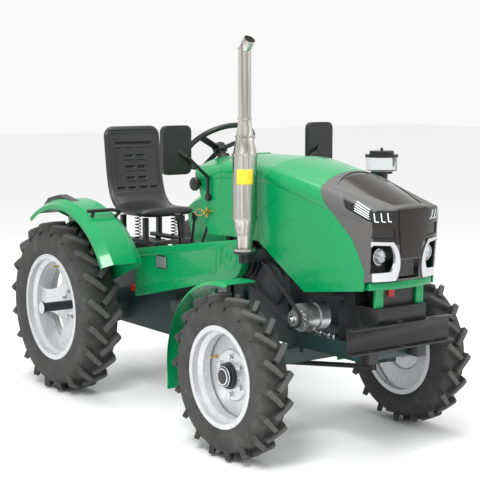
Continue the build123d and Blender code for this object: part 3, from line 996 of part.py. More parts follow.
# ---------------------------------------------------------------- steering linkage
SPINDLE_R = 22.0
HUB_R = 52.0
HUB_X0 = FRONT_TRACK / 2 - 50.0        # inner face of the front hub
BRACE_X0, BRACE_X1 = FRONT_TRACK / 2 - 88.0, FRONT_TRACK / 2 - 80.0
GUARD_R, GUARD_T = FRONT_R + 47.0, 3.0          # front fender, round the wheel
GUARD_W = 156.0
GUARD_SECTION = (   # x from the inner edge, height over the underside: flat sheet with an outer lip turned down
    (0.0, 0.0), (0.0, GUARD_T), (GUARD_W - 12, GUARD_T), (GUARD_W, -12.0), (GUARD_W - GUARD_T, -12.0), (GUARD_W - 14, 0.0),
)
GUARD_FRONT, GUARD_REAR = 98.0, -6.0   # angles of its ends, from the rear horizontal
for name, side in SIDES:
    pin_x = side * KINGPIN_X
    with BuildPart() as knuckle:
        rod((pin_x, Y_FRONT, ARM_Z), (pin_x, Y_FRONT, EYE_Z0 - CLEAR), EYE_R)
        rod((pin_x, Y_FRONT, EYE_Z0 - CLEAR), (pin_x, Y_FRONT, EYE_Z1 + CLEAR), KINGPIN_R)
        rod((pin_x, Y_FRONT, EYE_Z1 + CLEAR), (pin_x, Y_FRONT, EYE_Z1 + ARM_T), EYE_R)
        # spindle
        rod((pin_x, Y_FRONT, FRONT_R), (side * (HUB_X0 - CLEAR), Y_FRONT, FRONT_R), 40)
        rod((pin_x, Y_FRONT, FRONT_R), (side * (FRONT_TRACK / 2 + 20), Y_FRONT, FRONT_R), SPINDLE_R)
        # arm to the tie rod, pin upwards
        block((pin_x - 20, pin_x + 20), (Y_FRONT, Y_FRONT + TIE_ARM + 20), (ARM_Z, ARM_Z + ARM_T))
        rod((pin_x, Y_FRONT + TIE_ARM, ARM_Z + ARM_T), (pin_x, Y_FRONT + TIE_ARM, ARM_Z + ARM_T + 30), BALL_PIN_R)
        if side > 0:
            # arm to the drag link, pin downwards
            block((pin_x - DRAG_ARM - 20, pin_x), (Y_FRONT - 20, Y_FRONT + 20), (ARM_Z, ARM_Z + ARM_T))
            rod((pin_x - DRAG_ARM, Y_FRONT, ARM_Z), (pin_x - DRAG_ARM, Y_FRONT, ARM_Z - 28), BALL_PIN_R)
        # brackets to the fender
        brace = mirrored((BRACE_X0, BRACE_X1), side)
        block(mirrored((KINGPIN_X, BRACE_X1), side), (Y_FRONT - 18, Y_FRONT + 18), (EYE_Z1 + CLEAR, EYE_Z1 + ARM_T))
        block(brace, (Y_FRONT - 18, Y_FRONT + 18), (EYE_Z1 + CLEAR, FRONT_R + GUARD_R - CLEAR - 1))
        reach = sqrt((GUARD_R - CLEAR) ** 2 - (EYE_Z1 + ARM_T - FRONT_R) ** 2)
        block(brace, (Y_FRONT, Y_FRONT + reach), (EYE_Z1 + CLEAR, EYE_Z1 + ARM_T))
    knuckle.part.label = f"knuckle_{name}"
    export_step(knuckle.part, f"parts/knuckle_{name}.step")

    with BuildPart() as front_fender:
        start = Plane(origin=(0, Y_FRONT, FRONT_R), x_dir=(1, 0, 0),
                      z_dir=(0, -sin(radians(GUARD_REAR)), cos(radians(GUARD_REAR))))
        with BuildSketch(start):
            with BuildLine():
                Polyline(*[(side * (BRACE_X0 + x), GUARD_R + r) for x, r in GUARD_SECTION], close=True)
            make_face()
        revolve(axis=Axis((0, Y_FRONT, FRONT_R), (1, 0, 0)), revolution_arc=GUARD_FRONT - GUARD_REAR)
        # flap below the rear end
        flap_y = Y_FRONT + GUARD_R * cos(radians(GUARD_REAR))
        block(mirrored((BRACE_X0 + 8, BRACE_X0 + GUARD_W - 8), side), (flap_y - 3, flap_y + 3),
              (FRONT_R - 130, FRONT_R + GUARD_R * sin(radians(GUARD_REAR)) + 4))
    front_fender.part.label = f"front_fender_{name}"
    export_step(front_fender.part, f"parts/front_fender_{name}.step")

ROD_Z = ARM_Z + ARM_T + 4.0 + ROD_R
with BuildPart() as tie_rod:
    rod((-KINGPIN_X, Y_FRONT + TIE_ARM, ROD_Z), (KINGPIN_X, Y_FRONT + TIE_ARM, ROD_Z), ROD_R)
    for name, side in SIDES:
        eye = (side * KINGPIN_X, Y_FRONT + TIE_ARM)
        rod((*eye, ROD_Z - EYE_HALF), (*eye, ROD_Z + EYE_HALF), BALL_EYE_R)
    for name, side in SIDES:
        eye = (side * KINGPIN_X, Y_FRONT + TIE_ARM)
        rod((*eye, ROD_Z - EYE_HALF - 1), (*eye, ROD_Z + EYE_HALF + 1), BALL_PIN_R + PIN_CLEAR, Mode.SUBTRACT)
tie_rod.part.label = "tie_rod"
export_step(tie_rod.part, "parts/tie_rod.step")

with BuildPart() as pitman_arm:
    rod((0, STEER_BOX_Y, ARM_Z), (0, STEER_BOX_Y, ARM_Z + ARM_T), 34)
    block((-DRAG_ARM - 20, 0), (STEER_BOX_Y - 20, STEER_BOX_Y + 20), (ARM_Z, ARM_Z + ARM_T))
    rod((-DRAG_ARM, STEER_BOX_Y, ARM_Z), (-DRAG_ARM, STEER_BOX_Y, ARM_Z - 28), BALL_PIN_R)
pitman_arm.part.label = "pitman_arm"
export_step(pitman_arm.part, "parts/pitman_arm.step")

DRAG_Z = ARM_Z - 4.0 - ROD_R
DRAG_ENDS = ((KINGPIN_X - DRAG_ARM, Y_FRONT), (-DRAG_ARM, STEER_BOX_Y))
with BuildPart() as drag_link:
    rod((*DRAG_ENDS[0], DRAG_Z), (*DRAG_ENDS[1], DRAG_Z), ROD_R)
    for end in DRAG_ENDS:
        rod((*end, DRAG_Z - EYE_HALF), (*end, DRAG_Z + EYE_HALF), BALL_EYE_R)
    for end in DRAG_ENDS:
        rod((*end, DRAG_Z - EYE_HALF - 1), (*end, DRAG_Z + EYE_HALF + 1), BALL_PIN_R + PIN_CLEAR, Mode.SUBTRACT)
drag_link.part.label = "drag_link"
export_step(drag_link.part, "parts/drag_link.step")

# ---------------------------------------------------------------- wheels


def wheel_plane_at(y, z):
    """Plane for a wheel's half section: sketch X is world X, sketch Y is the radius."""
    return Plane(origin=(0, y, z), x_dir=(1, 0, 0), z_dir=(0, -1, 0))


def rim_outline(centre_x, side, seat_r, flange, width):
    """Rim barrel: flanges, bead seats and drop centre, as a closed half section."""
    half, wall = width / 2, RIM_WALL
    outer = [(half, seat_r + flange), (half - wall, seat_r + flange), (half - wall, seat_r), (half - 30, seat_r),
             (half - 45, seat_r - 18), (-half + 45, seat_r - 18), (-half + 30, seat_r), (-half + wall, seat_r),
             (-half + wall, seat_r + flange), (-half, seat_r + flange)]
    inner = [(-half, seat_r - wall), (-half + 28, seat_r - wall), (-half + 43, seat_r - 18 - wall),
             (half - 43, seat_r - 18 - wall), (half - 28, seat_r - wall), (half, seat_r - wall)]
    return [(centre_x + side * x, r) for x, r in outer + inner]


# tyre carcass: offset from the wheel's centre plane as a share of half the width, and height above the rim's
# flange as a share of the way to the foot of the lugs. It has one flat for each lug of the first row
CARCASS = ((0.80, 0.0), (1.0, 0.45), (0.80, 1.0))
LUG_ANGLE = 46.0               # between a lug and the wheel's centre plane
LUG_OUT, LUG_BACK = sin(radians(LUG_ANGLE)), cos(radians(LUG_ANGLE))
LUG_PAST = 10.0                # how far a lug runs past the centre plane
FRONT_LUGS, FRONT_LUG_T, FRONT_LUG_H = 18, 24.0, 30.0
REAR_LUGS, REAR_LUG_T, REAR_LUG_H = 20, 28.0, 34.0


def lug_bar(half, tread_r, height, thickness, side):
    """Lug on the +Y side of a wheel at the origin: a bar that slants from near the centre out over the shoulder."""
    reach = half - thickness / 2 * LUG_BACK
    outline = (   # offset from the centre plane, radius
        (-LUG_PAST, tread_r - 1.6 * height), (-LUG_PAST, tread_r), (0.74 * half, tread_r - 3),
        (reach, tread_r - 1.6 * height),
    )
    slant = Plane(origin=(0, 0, 0), x_dir=(side * LUG_OUT, 0, -LUG_BACK), z_dir=(-side * LUG_BACK, 0, -LUG_OUT))
    with BuildPart() as bar:
        with BuildSketch(slant):
            with BuildLine():
                Polyline(*[(x / LUG_OUT, sqrt(r * r - (x * LUG_BACK / LUG_OUT) ** 2)) for x, r in outline], close=True)
            make_face()
        extrude(amount=thickness / 2, both=True)
    return bar.part


def lugged_tyre(seat_r, flange, rim_width, tread_r, width, lugs, thickness, height):
    """Tyre at the origin with its axis along X: a carcass of flats with two staggered rows of lugs.

    One lug of the first row stands with its inner end straight down.
    """
    half, flange_r = width / 2, seat_r + flange
    bead = rim_width / 2 - RIM_WALL - CLEAR
    rings = [(share * half, flange_r + rise * (tread_r - height - flange_r)) for share, rise in CARCASS]
    rings[0] = (bead, (flange_r + CLEAR) / cos(radians(180 / lugs)))
    lead, trail = [degrees(asin(run * LUG_BACK / LUG_OUT / tread_r)) for run in (LUG_PAST, half - thickness / 2)]
    phase = 90 - lead / 2 - trail / 2
    bars = [lug_bar(half, tread_r, height, thickness, side) for side in (1, -1)]
    with BuildPart() as tyre:
        for x, radius in [(-x, r) for x, r in rings] + rings[::-1]:
            with BuildSketch(across(x)):
                RegularPolygon(radius, lugs, rotation=phase)
        loft(ruled=True)
        with BuildSketch(across(-bead)):
            RegularPolygon(seat_r + CLEAR, lugs, major_radius=False, rotation=phase)
        extrude(amount=2 * bead, mode=Mode.SUBTRACT)
        for row, bar in enumerate(bars):
            turns = [270 - lead + 360 * (i + row / 2) / lugs for i in range(lugs)]
            with Locations(*[Location((0, 0, 0), (turn, 0, 0)) for turn in turns]):
                add(bar)
    return tyre.part


# wheel discs: offset from the wheel centre plane, radius
FRONT_DISC = ((-30.0, 196.0), (-14.0, 114.0), (-6.0, 106.0), (-6.0, 30.0), (-12.0, 30.0), (-12.0, 103.0),
              (-20.0, 111.0), (-36.0, 200.0))
REAR_DISC = ((15.0, 237.0), (5.0, 200.0), (-55.0, 95.0), (-55.0, 22.0), (-63.0, 22.0), (-63.0, 98.0),
             (-3.0, 203.0), (7.0, 237.0))
DISC_FLAT = 181.0              # the front disc's edge is cut by four flats, this far from the axle
SCALLOP_AT, SCALLOP_R = 258.0, 122.0     # four round bites out of the rear disc, on its diagonals
HUB_CAP = ((-6.0, 58.0), (6.0, 58.0), (6.0, 44.0), (36.0, 44.0), (44.0, 34.0), (44.0, 0.0), (-6.0, 0.0))
SHAFT_COLLAR_R, SHAFT_COLLAR = 29.0, 9.0


def turned(rows, centre_x, side, y, z):
    """Solid of revolution about a wheel's axle, from rows of offset and radius."""
    with BuildPart() as body:
        with BuildSketch(wheel_plane_at(y, z)):
            with BuildLine():
                Polyline(*[(centre_x + side * x, r) for x, r in rows], close=True)
            make_face()
        revolve(axis=Axis((0, y, z), (1, 0, 0)))
    return body.part


front_barrel = rim_outline(0, 1, FRONT_SEAT_R, FRONT_FLANGE, FRONT_RIM_W)
rear_barrel = rim_outline(0, 1, REAR_SEAT_R, REAR_FLANGE, REAR_RIM_W)
front_tyre_shape = lugged_tyre(FRONT_SEAT_R, FRONT_FLANGE, FRONT_RIM_W, FRONT_R, FRONT_W, FRONT_LUGS, FRONT_LUG_T,
                               FRONT_LUG_H)
rear_tyre_shape = lugged_tyre(REAR_SEAT_R, REAR_FLANGE, REAR_RIM_W, REAR_R, REAR_W, REAR_LUGS, REAR_LUG_T, REAR_LUG_H)
for name, side in SIDES:
    centre = side * FRONT_TRACK / 2
    front_disc, front_ring, hub_cap = [turned(rows, centre, side, Y_FRONT, FRONT_R)
                                       for rows in (FRONT_DISC, front_barrel, HUB_CAP)]
    with BuildPart() as front_rim:
        add(front_disc)
        with Locations(Location((centre, Y_FRONT, FRONT_R), (45, 0, 0))):
            Box(FRONT_RIM_W, 2 * DISC_FLAT, 2 * DISC_FLAT, mode=Mode.INTERSECT)
        add(front_ring)
        rod((side * HUB_X0, Y_FRONT, FRONT_R), (centre, Y_FRONT, FRONT_R), HUB_R)
        add(hub_cap)
        rod((side * (HUB_X0 - 1), Y_FRONT, FRONT_R), (centre + side * (20 + PIN_CLEAR), Y_FRONT, FRONT_R),
            SPINDLE_R + PIN_CLEAR, Mode.SUBTRACT)
    front_rim.part.label = f"front_rim_{name}"
    export_step(front_rim.part, f"parts/front_rim_{name}.step")

    with BuildPart() as front_tyre:
        with Locations((centre, Y_FRONT, FRONT_R)):
            add(front_tyre_shape if side > 0 else mirror(front_tyre_shape, about=Plane.YZ, mode=Mode.PRIVATE))
    front_tyre.part.label = f"front_tyre_{name}"
    export_step(front_tyre.part, f"parts/front_tyre_{name}.step")

    centre = side * REAR_TRACK / 2
    rear_disc, rear_ring = [turned(rows, centre, side, Y_REAR, REAR_R) for rows in (REAR_DISC, rear_barrel)]
    with BuildPart() as rear_rim:
        add(rear_disc)
        with BuildSketch(across(centre - REAR_RIM_W / 2, Y_REAR, REAR_R)):
            with PolarLocations(SCALLOP_AT, 4, start_angle=45):
                Circle(SCALLOP_R)
        extrude(amount=REAR_RIM_W, mode=Mode.SUBTRACT)
        add(rear_ring)
        rod((side * (HOUSING_END_X + CLEAR), Y_REAR, REAR_R), (centre - side * 35, Y_REAR, REAR_R), 55)
        rod((side * (HOUSING_END_X - 55), Y_REAR, REAR_R), (side * AXLE_END_X, Y_REAR, REAR_R), AXLE_SHAFT_R)
        rod((side * (AXLE_END_X - SHAFT_COLLAR), Y_REAR, REAR_R), (side * AXLE_END_X, Y_REAR, REAR_R), SHAFT_COLLAR_R)
    rear_rim.part.label = f"rear_rim_{name}"
    export_step(rear_rim.part, f"parts/rear_rim_{name}.step")

    with BuildPart() as rear_tyre:
        with Locations((centre, Y_REAR, REAR_R)):
            add(rear_tyre_shape if side > 0 else mirror(rear_tyre_shape, about=Plane.YZ, mode=Mode.PRIVATE))
    rear_tyre.part.label = f"rear_tyre_{name}"
    export_step(rear_tyre.part, f"parts/rear_tyre_{name}.step")
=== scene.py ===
"""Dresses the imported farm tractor: finishes, small pieces, floor, light and camera.

Everything is in metres in the frame of the CAD model: +Z up, the tractor faces -Y and +X is its left side.
"""
import json
from math import cos, pi, radians, sin

import bpy
import numpy as np
from bpy.props import FloatProperty, FloatVectorProperty, PointerProperty
from mathutils import Euler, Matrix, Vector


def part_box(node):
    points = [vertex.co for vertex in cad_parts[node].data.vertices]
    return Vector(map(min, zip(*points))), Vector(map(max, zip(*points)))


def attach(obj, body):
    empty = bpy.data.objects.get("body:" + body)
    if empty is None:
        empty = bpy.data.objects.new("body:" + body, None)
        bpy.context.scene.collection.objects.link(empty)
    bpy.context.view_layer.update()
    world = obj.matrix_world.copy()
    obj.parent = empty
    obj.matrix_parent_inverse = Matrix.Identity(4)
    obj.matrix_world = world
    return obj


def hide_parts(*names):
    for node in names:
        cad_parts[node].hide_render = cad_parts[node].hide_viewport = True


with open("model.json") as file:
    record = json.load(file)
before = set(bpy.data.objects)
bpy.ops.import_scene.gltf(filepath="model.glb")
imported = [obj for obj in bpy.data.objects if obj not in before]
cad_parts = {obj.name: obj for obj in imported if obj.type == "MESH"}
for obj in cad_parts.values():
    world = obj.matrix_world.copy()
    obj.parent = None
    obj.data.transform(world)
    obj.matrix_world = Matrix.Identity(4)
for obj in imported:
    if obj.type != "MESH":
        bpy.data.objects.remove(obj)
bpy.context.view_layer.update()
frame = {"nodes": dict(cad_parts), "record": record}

bl_info = {
    "name": "Farm tractor dressing",
    "version": (1, 0, 0),
    "blender": (4, 5, 0),
    "location": "3D View > Sidebar > Tractor",
    "description": "Finishes and small pieces for a small farm tractor",
    "category": "Object",
}

# ------------ places taken from the frame


def centre_of(node):
    """Centre of a CAD node's box."""
    low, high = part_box(node)
    return np.array((low + high) / 2)


FRONT_AXLE_Y = float(centre_of("front_tyre_left")[1])
SIDES = ((1, "left"), (-1, "right"))
LEFT, RIGHT, FORWARD, UP = (1, 0, 0), (-1, 0, 0), (0, -1, 0), (0, 0, 1)


# ------------ shader expressions


class Socket:
    """A shader output that takes part in Python arithmetic; each operation adds a Math node."""

    def __init__(self, shader, link):
        self.shader, self.link = shader, link

    def _math(self, operation, *values):
        return self.shader.node("ShaderNodeMath", {"operation": operation}, dict(enumerate(values)))

    def __add__(self, other):
        return self._math("ADD", self, other)

    def __sub__(self, other):
        return self._math("SUBTRACT", self, other)

    def __rsub__(self, other):
        return self._math("SUBTRACT", other, self)

    def __mul__(self, other):
        return self._math("MULTIPLY", self, other)

    def __gt__(self, other):
        return self._math("GREATER_THAN", self, other)

    def __lt__(self, other):
        return self._math("LESS_THAN", self, other)

    __radd__, __rmul__ = __add__, __mul__


class Shader:
    """One material's node tree, built by expressions."""

    def __init__(self, name):
        self.material = bpy.data.materials.new(name)
        self.material.use_nodes = True
        self.tree = self.material.node_tree
        self.surface = self.tree.nodes["Principled BSDF"]

    def node(self, kind, settings=None, values=None, output=0):
        """Adds a node: its settings first, then the value or link of each named or numbered input."""
        added = self.tree.nodes.new(kind)
        for key, value in (settings or {}).items():
            if key == "stops":
                self._stops(added.color_ramp, value)
            else:
                setattr(added, key, value)
        for key, value in (values or {}).items():
            self.feed(added.inputs[key], value)
        return Socket(self, added.outputs[output])

    def _stops(self, ramp, stops):
        """Sets a ramp's stops, given as (position, colour)."""
        while len(ramp.elements) < len(stops):
            ramp.elements.new(1.0)
        for element, (position, colour) in zip(ramp.elements, stops):
            element.position, element.color = position, (*colour, 1.0)

    def feed(self, target, value):
        """Links a Socket, or sets a plain value."""
        if isinstance(value, Socket):
            self.tree.links.new(value.link, target)
        else:
            target.default_value = value

    def set(self, **values):
        """Sets or links the surface's inputs; Base_Color stands for the socket Base Color."""
        for key, value in values.items():
            self.feed(self.surface.inputs[key.replace("_", " ")], value)
        return self

    def place(self):
        """Object coordinates, which are the part's own frame."""
        return self.node("ShaderNodeTexCoord", output=3)

    def noise(self, scale, detail=3.0, roughness=0.5, vector=None):
        """Grey cloud between 0 and 1; scale is in repeats for each metre."""
        values = {"Vector": vector or self.place(), "Scale": scale, "Detail": detail, "Roughness": roughness}
        return self.node("ShaderNodeTexNoise", None, values)

    def axes(self):
        """The three Object coordinates as separate numbers."""
        split = self.node("ShaderNodeSeparateXYZ", None, {0: self.place()}).link.node
        return [Socket(self, split.outputs[i]) for i in range(3)]

    def ramp(self, factor, *stops):
        """Colour ramp over a factor."""
        return self.node("ShaderNodeValToRGB", {"stops": stops}, {0: factor})

    def mix(self, factor, first, second):
        """Colour mix by a factor."""
        opaque = [(*c, 1.0) if isinstance(c, tuple) and len(c) == 3 else c for c in (first, second)]
        return self.node("ShaderNodeMix", {"data_type": "RGBA"}, {0: factor, 6: opaque[0], 7: opaque[1]}, output=2)

    def bump(self, height, distance, strength=1.0):
        """Bump from a height."""
        normal = self.node("ShaderNodeBump", None, {"Height": height, "Distance": distance, "Strength": strength})
        return self.set(Normal=normal)


def tint(colour, amount):
    """A colour made lighter by an amount above 1 or darker below it."""
    return tuple(min(1.0, channel * amount) for channel in colour)


# ------------ finishes


def gloss_paint(name, colour, roughness=0.28, wear=0.04):
    """Sprayed enamel under a clear coat: slight tone drift, dust in the low places and fine orange peel."""
    shader = Shader(name)
    drift = shader.noise(3.0)
    dust = shader.noise(26.0, 5.0)
    base = shader.mix(drift, tint(colour, 0.93), tint(colour, 1.05))
    shader.set(Base_Color=base, Roughness=dust * 0.12 + (roughness - 0.06), Coat_Weight=0.35, Coat_Roughness=0.07,
               Specular_IOR_Level=0.25)
    return shader.bump(shader.noise(260.0, 1.0), wear * 0.01).material


def flat_paint(name, colour, roughness=0.5, grain=420.0, depth=0.0004):
    """Satin or matt paint on metal, with a fine grain and dusty patches."""
    shader = Shader(name)
    patches = shader.noise(14.0, 6.0, 0.6)
    shader.set(Base_Color=shader.ramp(patches, (0.3, tint(colour, 0.8)), (0.7, tint(colour, 1.2))),
               Roughness=patches * 0.25 + (roughness - 0.12))
    return shader.bump(shader.noise(grain, 2.0), depth).material


def moulded(name, colour, roughness=0.5, grain=900.0, depth=0.0003):
    """Moulded plastic with a fine leather-like grain."""
    shader = Shader(name)
    patches = shader.noise(9.0, 4.0)
    cells = shader.node("ShaderNodeTexVoronoi", None, {"Vector": shader.place(), "Scale": grain})
    shader.set(Base_Color=shader.ramp(patches, (0.3, tint(colour, 0.9)), (0.75, tint(colour, 1.12))),
               Roughness=patches * 0.15 + (roughness - 0.07))
    return shader.bump(cells, depth, 0.6).material


def tyre_rubber(name, colour):
    """Dusty black rubber: paler dust in patches, much paler mottled lug tops, fine pits and shallow rings round the
    wall.

    The attribute tread is 0 at the rim flange and 1 on top of the lugs.
    """
    shader = Shader(name)
    tread = shader.node("ShaderNodeAttribute", {"attribute_name": "tread"}, output=2)
    dust = shader.noise(13.0, 8.0, 0.68)
    grain = shader.noise(210.0, 5.0, 0.65)
    # the tops of the lugs are painted much paler, in patches
    pale_lug_tops = (tread > 0.93) * shader.noise(70.0, 5.0, 0.7)
    base = shader.ramp(dust, (0.35, tint(colour, 0.62)), (0.55, colour), (0.75, tint(colour, 1.9)))
    shader.set(Base_Color=shader.mix(pale_lug_tops, base, tint(colour, 2.6)), Roughness=dust * 0.25 + 0.55,
               Specular_IOR_Level=0.4)
    rings = shader.node("ShaderNodeMath", {"operation": "SINE"}, {0: tread * 75.0}) * (tread < 0.5)
    return shader.bump(grain + rings * 0.35, 0.0022, 0.9).material


def bare_metal(name, colour, roughness, reflection_streak, metallic=1.0, contrast=0.18):
    """Rolled or cast metal with small smudges, which a streak below 1 draws out along z into long vertical streaks of
    painted reflection.
    """
    shader = Shader(name)
    x, y, z = shader.axes()
    stretched = shader.node("ShaderNodeCombineXYZ", None, {0: x, 1: y, 2: z * reflection_streak})
    smudge_and_reflection = shader.noise(60.0, 5.0, 0.6, stretched)
    patches = shader.noise(12.0, 3.0)
    # base colour: small smudges, and where they are drawn out along z, painted vertical reflections
    base = shader.ramp(smudge_and_reflection, (0.36, tint(colour, 1 - contrast)), (0.62, tint(colour, 1.1)))
    shader.set(Base_Color=base, Metallic=metallic, Roughness=smudge_and_reflection * 0.2 + patches * 0.12 + (roughness - 0.14))
    return shader.bump(smudge_and_reflection, 0.0003, 0.5).material


def cast_iron(name, colour):
    """Painted casting, rough and oily in patches."""
    shader = Shader(name)
    oil = shader.noise(20.0, 6.0, 0.65)
    shader.set(Base_Color=shader.ramp(oil, (0.3, tint(colour, 0.6)), (0.7, tint(colour, 1.3))),
               Roughness=oil * 0.4 + 0.3, Metallic=0.25)
    return shader.bump(shader.noise(240.0, 4.0), 0.0015).material


def clear(name, colour):
    """Thin clear plastic or glass, slightly tinted."""
    shader = Shader(name)
    shader.set(Base_Color=(*colour, 1.0), Roughness=0.08, Transmission_Weight=1.0, IOR=1.45, Alpha=0.85)
    return shader.material


def two_tone(name, satin, glossy):
    """Nose cowl: satin grey, with glossy dark paint on the sunk top panel, the centre panel and round the lamps.

    A panel is bounded by |x| < a line in y or z, and in front and behind by the parabolas y0 + k*x*x, with y counted
    from the front axle.
    """
    shader = Shader(name)
    x, y, z = shader.axes()
    wide = shader.node("ShaderNodeMath", {"operation": "ABSOLUTE"}, {0: x})
    back = y - FRONT_AXLE_Y
    behind_lip = back > wide * wide * 2.3 - 0.5425
    before_seam = back < wide * wide * -2.044 - 0.2155
    top = (wide < (back + 0.528) * 0.2707 + 0.0785) * behind_lip * before_seam * (z > 1.055)
    centre = (wide < (z - 0.880) * 0.1313 + 0.0545) * (z < 1.0785) * (z > 0.8795) * (back < -0.45)
    lamps = (wide < 0.188) * (wide > 0.058) * (back < -0.512) * (z > 0.935) * (z < 1.075)
    mask = shader.node("ShaderNodeMath", {"operation": "MAXIMUM"}, {0: top + centre, 1: lamps})
    patches = shader.noise(9.0, 4.0)
    flakes = shader.noise(130.0, 6.0, 0.7)
    dark = shader.mix(flakes, tint(glossy, 0.6), tint(glossy, 1.5))
    pale = shader.mix(patches, tint(satin, 0.92), tint(satin, 1.08))
    shader.set(Base_Color=shader.mix(mask, pale, dark), Roughness=mask * -0.26 + (patches * 0.08 + 0.38),
               Coat_Weight=mask * 0.25, Coat_Roughness=0.12, Specular_IOR_Level=0.25)
    return shader.bump(shader.noise(700.0, 2.0), 0.0003, 0.5).material


def chrome(name, colour):
    """Bright plated trim with a faint haze."""
    shader = Shader(name)
    haze = shader.noise(30.0, 4.0)
    shader.set(Base_Color=(*colour, 1.0), Metallic=1.0, Roughness=haze * 0.12 + 0.06)
    return shader.material


def finishes(colours):
    """All materials, by the record's slot names and the scene's own."""
    green, dark = tuple(colours.green), tuple(colours.black)
    table = {
        "green_paint": (gloss_paint, green),
        "black_paint": (flat_paint, dark, 0.42),
        "dark_green_paint": (flat_paint, (0.012, 0.035, 0.033), 0.4),
        "charcoal_plastic": (two_tone, (0.105, 0.103, 0.102), (0.014, 0.012, 0.011)),
        "black_plastic": (moulded, tint(dark, 0.8), 0.36, 1200.0, 0.0002),
        "silver_wheel": (bare_metal, (0.60, 0.61, 0.62), 0.36, 1.0, 0.6, 0.05),
        # soot: near-black; in the exhaust's mouth it stands for soot and painted shade
        "soot": (flat_paint, (0.004, 0.004, 0.004), 0.95),
        "tyre_rubber": (tyre_rubber, tuple(colours.rubber)),
        # stainless: smudges drawn out along z at strong contrast, painted vertical reflections
        "stainless": (bare_metal, (0.60, 0.58, 0.54), 0.24, 0.02, 1.0, 0.55),
        "clear_glass": (clear, (0.9, 0.93, 0.94)),
        "lamp_lens": (gloss_paint, (0.010, 0.011, 0.013), 0.12),
        "lamp_white": (gloss_paint, (0.80, 0.82, 0.84), 0.2),
        "red_cover": (moulded, (0.45, 0.02, 0.015), 0.4),
        "bright_trim": (chrome, (0.62, 0.63, 0.64)),
        "bar_grey": (moulded, (0.16, 0.16, 0.165), 0.4),
        "mirror_glass": (chrome, (0.7, 0.72, 0.74)),
        "yellow_label": (flat_paint, (0.72, 0.55, 0.03), 0.4, 300.0, 0.0001),
        "engine_iron": (cast_iron, (0.025, 0.032, 0.034)),
        "belt_rubber": (flat_paint, (0.03, 0.03, 0.03), 0.7),
        "cast_aluminium": (bare_metal, (0.66, 0.67, 0.67), 0.36, 1.0, 0.9),
        "red_lens": (gloss_paint, (0.5, 0.02, 0.015), 0.15),
        "brass": (bare_metal, (0.62, 0.42, 0.14), 0.3, 1.0),
        "seat_vinyl": (moulded, (0.012, 0.012, 0.012), 0.36, 700.0, 0.0003),
    }
    return {name: make(name, *values) for name, (make, *values) in table.items()}


MATERIALS = {}
BLOCKY = (  # nodes whose edges are rounded off; the others keep sharp creases
    "front_channel", "front_bracket", "lip_bar", "chassis_rails", "engine_block", "seat_frame", "foot_platforms",
    "battery", "belt_guard", "drawbar", "front_axle")


def dress(obj, material):
    """Gives an object one material."""
    obj.data.materials.clear()
    obj.data.materials.append(MATERIALS[material])


# ------------ surfaces from arrays


def unit(vector):
    """A vector divided by its length."""
    vector = np.asarray(vector, float)
    return vector / np.linalg.norm(vector, axis=-1, keepdims=True)


def basis(axis):
    """Two unit vectors square to an axis and to each other."""
    axis = unit(axis)
    helper = np.array((0.0, 0.0, 1.0)) if abs(axis[2]) < 0.9 else np.array((0.0, 1.0, 0.0))
    across = unit(np.cross(helper, axis))
    return across, np.cross(axis, across)


def grid_faces(rows, columns, wrap_rows=False):
    """Quads of a grid of points whose columns are joined round; wrap_rows joins the last row to the first too."""
    i, j = np.meshgrid(np.arange(rows if wrap_rows else rows - 1), np.arange(columns), indexing="ij")
    i, j = i.ravel(), j.ravel()
    down, right = (i + 1) % rows, (j + 1) % columns
    return np.stack([i * columns + j, i * columns + right, down * columns + right, down * columns + j], axis=1)


def sheet_faces(rows, columns):
    """Quads of an open grid of points."""
    i, j = np.meshgrid(np.arange(rows - 1), np.arange(columns - 1), indexing="ij")
    corner = (i * columns + j).ravel()
    return np.stack([corner, corner + 1, corner + columns + 1, corner + columns], axis=1)


def outward(points, quads):
    """Turns all quads over where the signed volume, the sum of a . (b x c) over the triangles, is negative."""
    a, b, c, d = (points[quads[:, k]] for k in range(4))
    volume = (a * np.cross(b, c)).sum() + (a * np.cross(c, d)).sum()
    return points, quads if volume > 0 else quads[:, ::-1]


def turned(rows, centre, axis, steps, ring=False):
    """Solid of revolution. Each row (h, r) gives the circle centre + h*axis + r*(cos a*u + sin a*v), a over a turn.

    ring joins the last row to the first; otherwise the first and last rows have no radius and close the poles.
    """
    across, up = basis(axis)
    rows = np.asarray(rows, float)
    turn = np.arange(steps) * 2 * pi / steps
    circle = np.cos(turn)[:, None] * across + np.sin(turn)[:, None] * up
    points = np.asarray(centre) + rows[:, 0, None, None] * unit(axis) + rows[:, 1, None, None] * circle
    return outward(points.reshape(-1, 3), grid_faces(len(rows), steps, ring))


def piped(path, radius, sides=8):
    """Pipe: at each path point p with tangent t, the ring p + r*(cos a*u + sin a*v), with u and v square to t."""
    path = np.asarray(path, float)
    tangent = unit(np.gradient(path, axis=0))
    spread = path.max(axis=0) - path.min(axis=0)
    helper = np.eye(3)[int(np.argmin(spread))]
    across = unit(np.cross(tangent, helper))
    up = np.cross(across, tangent)
    turn = (np.arange(sides) * 2 * pi / sides)[:, None]
    ring = path[:, None] + radius * (np.cos(turn) * across[:, None] + np.sin(turn) * up[:, None])
    caps = [np.repeat(path[k][None, None], sides, axis=1) for k in (0, -1)]
    points = np.concatenate([caps[0], ring, caps[1]])
    return outward(points.reshape(-1, 3), grid_faces(len(points), sides))


def rounded(points, count, cut):
    """Path through straight runs with each corner p replaced by the curve (1-s)^2 a + 2s(1-s) p + s^2 b.

    The curve has count points, and a and b lie on the two runs, at the share cut of their lengths from p.
    """
    points = np.asarray(points, float)
    s = np.linspace(0, 1, count)[:, None]
    runs = [points[:1]]
    for before, corner, after in zip(points[:-2], points[1:-1], points[2:]):
        a, b = corner + (before - corner) * cut, corner + (after - corner) * cut
        runs.append((1 - s) ** 2 * a + 2 * s * (1 - s) * corner + s ** 2 * b)
    return np.concatenate(runs + [points[-1:]])


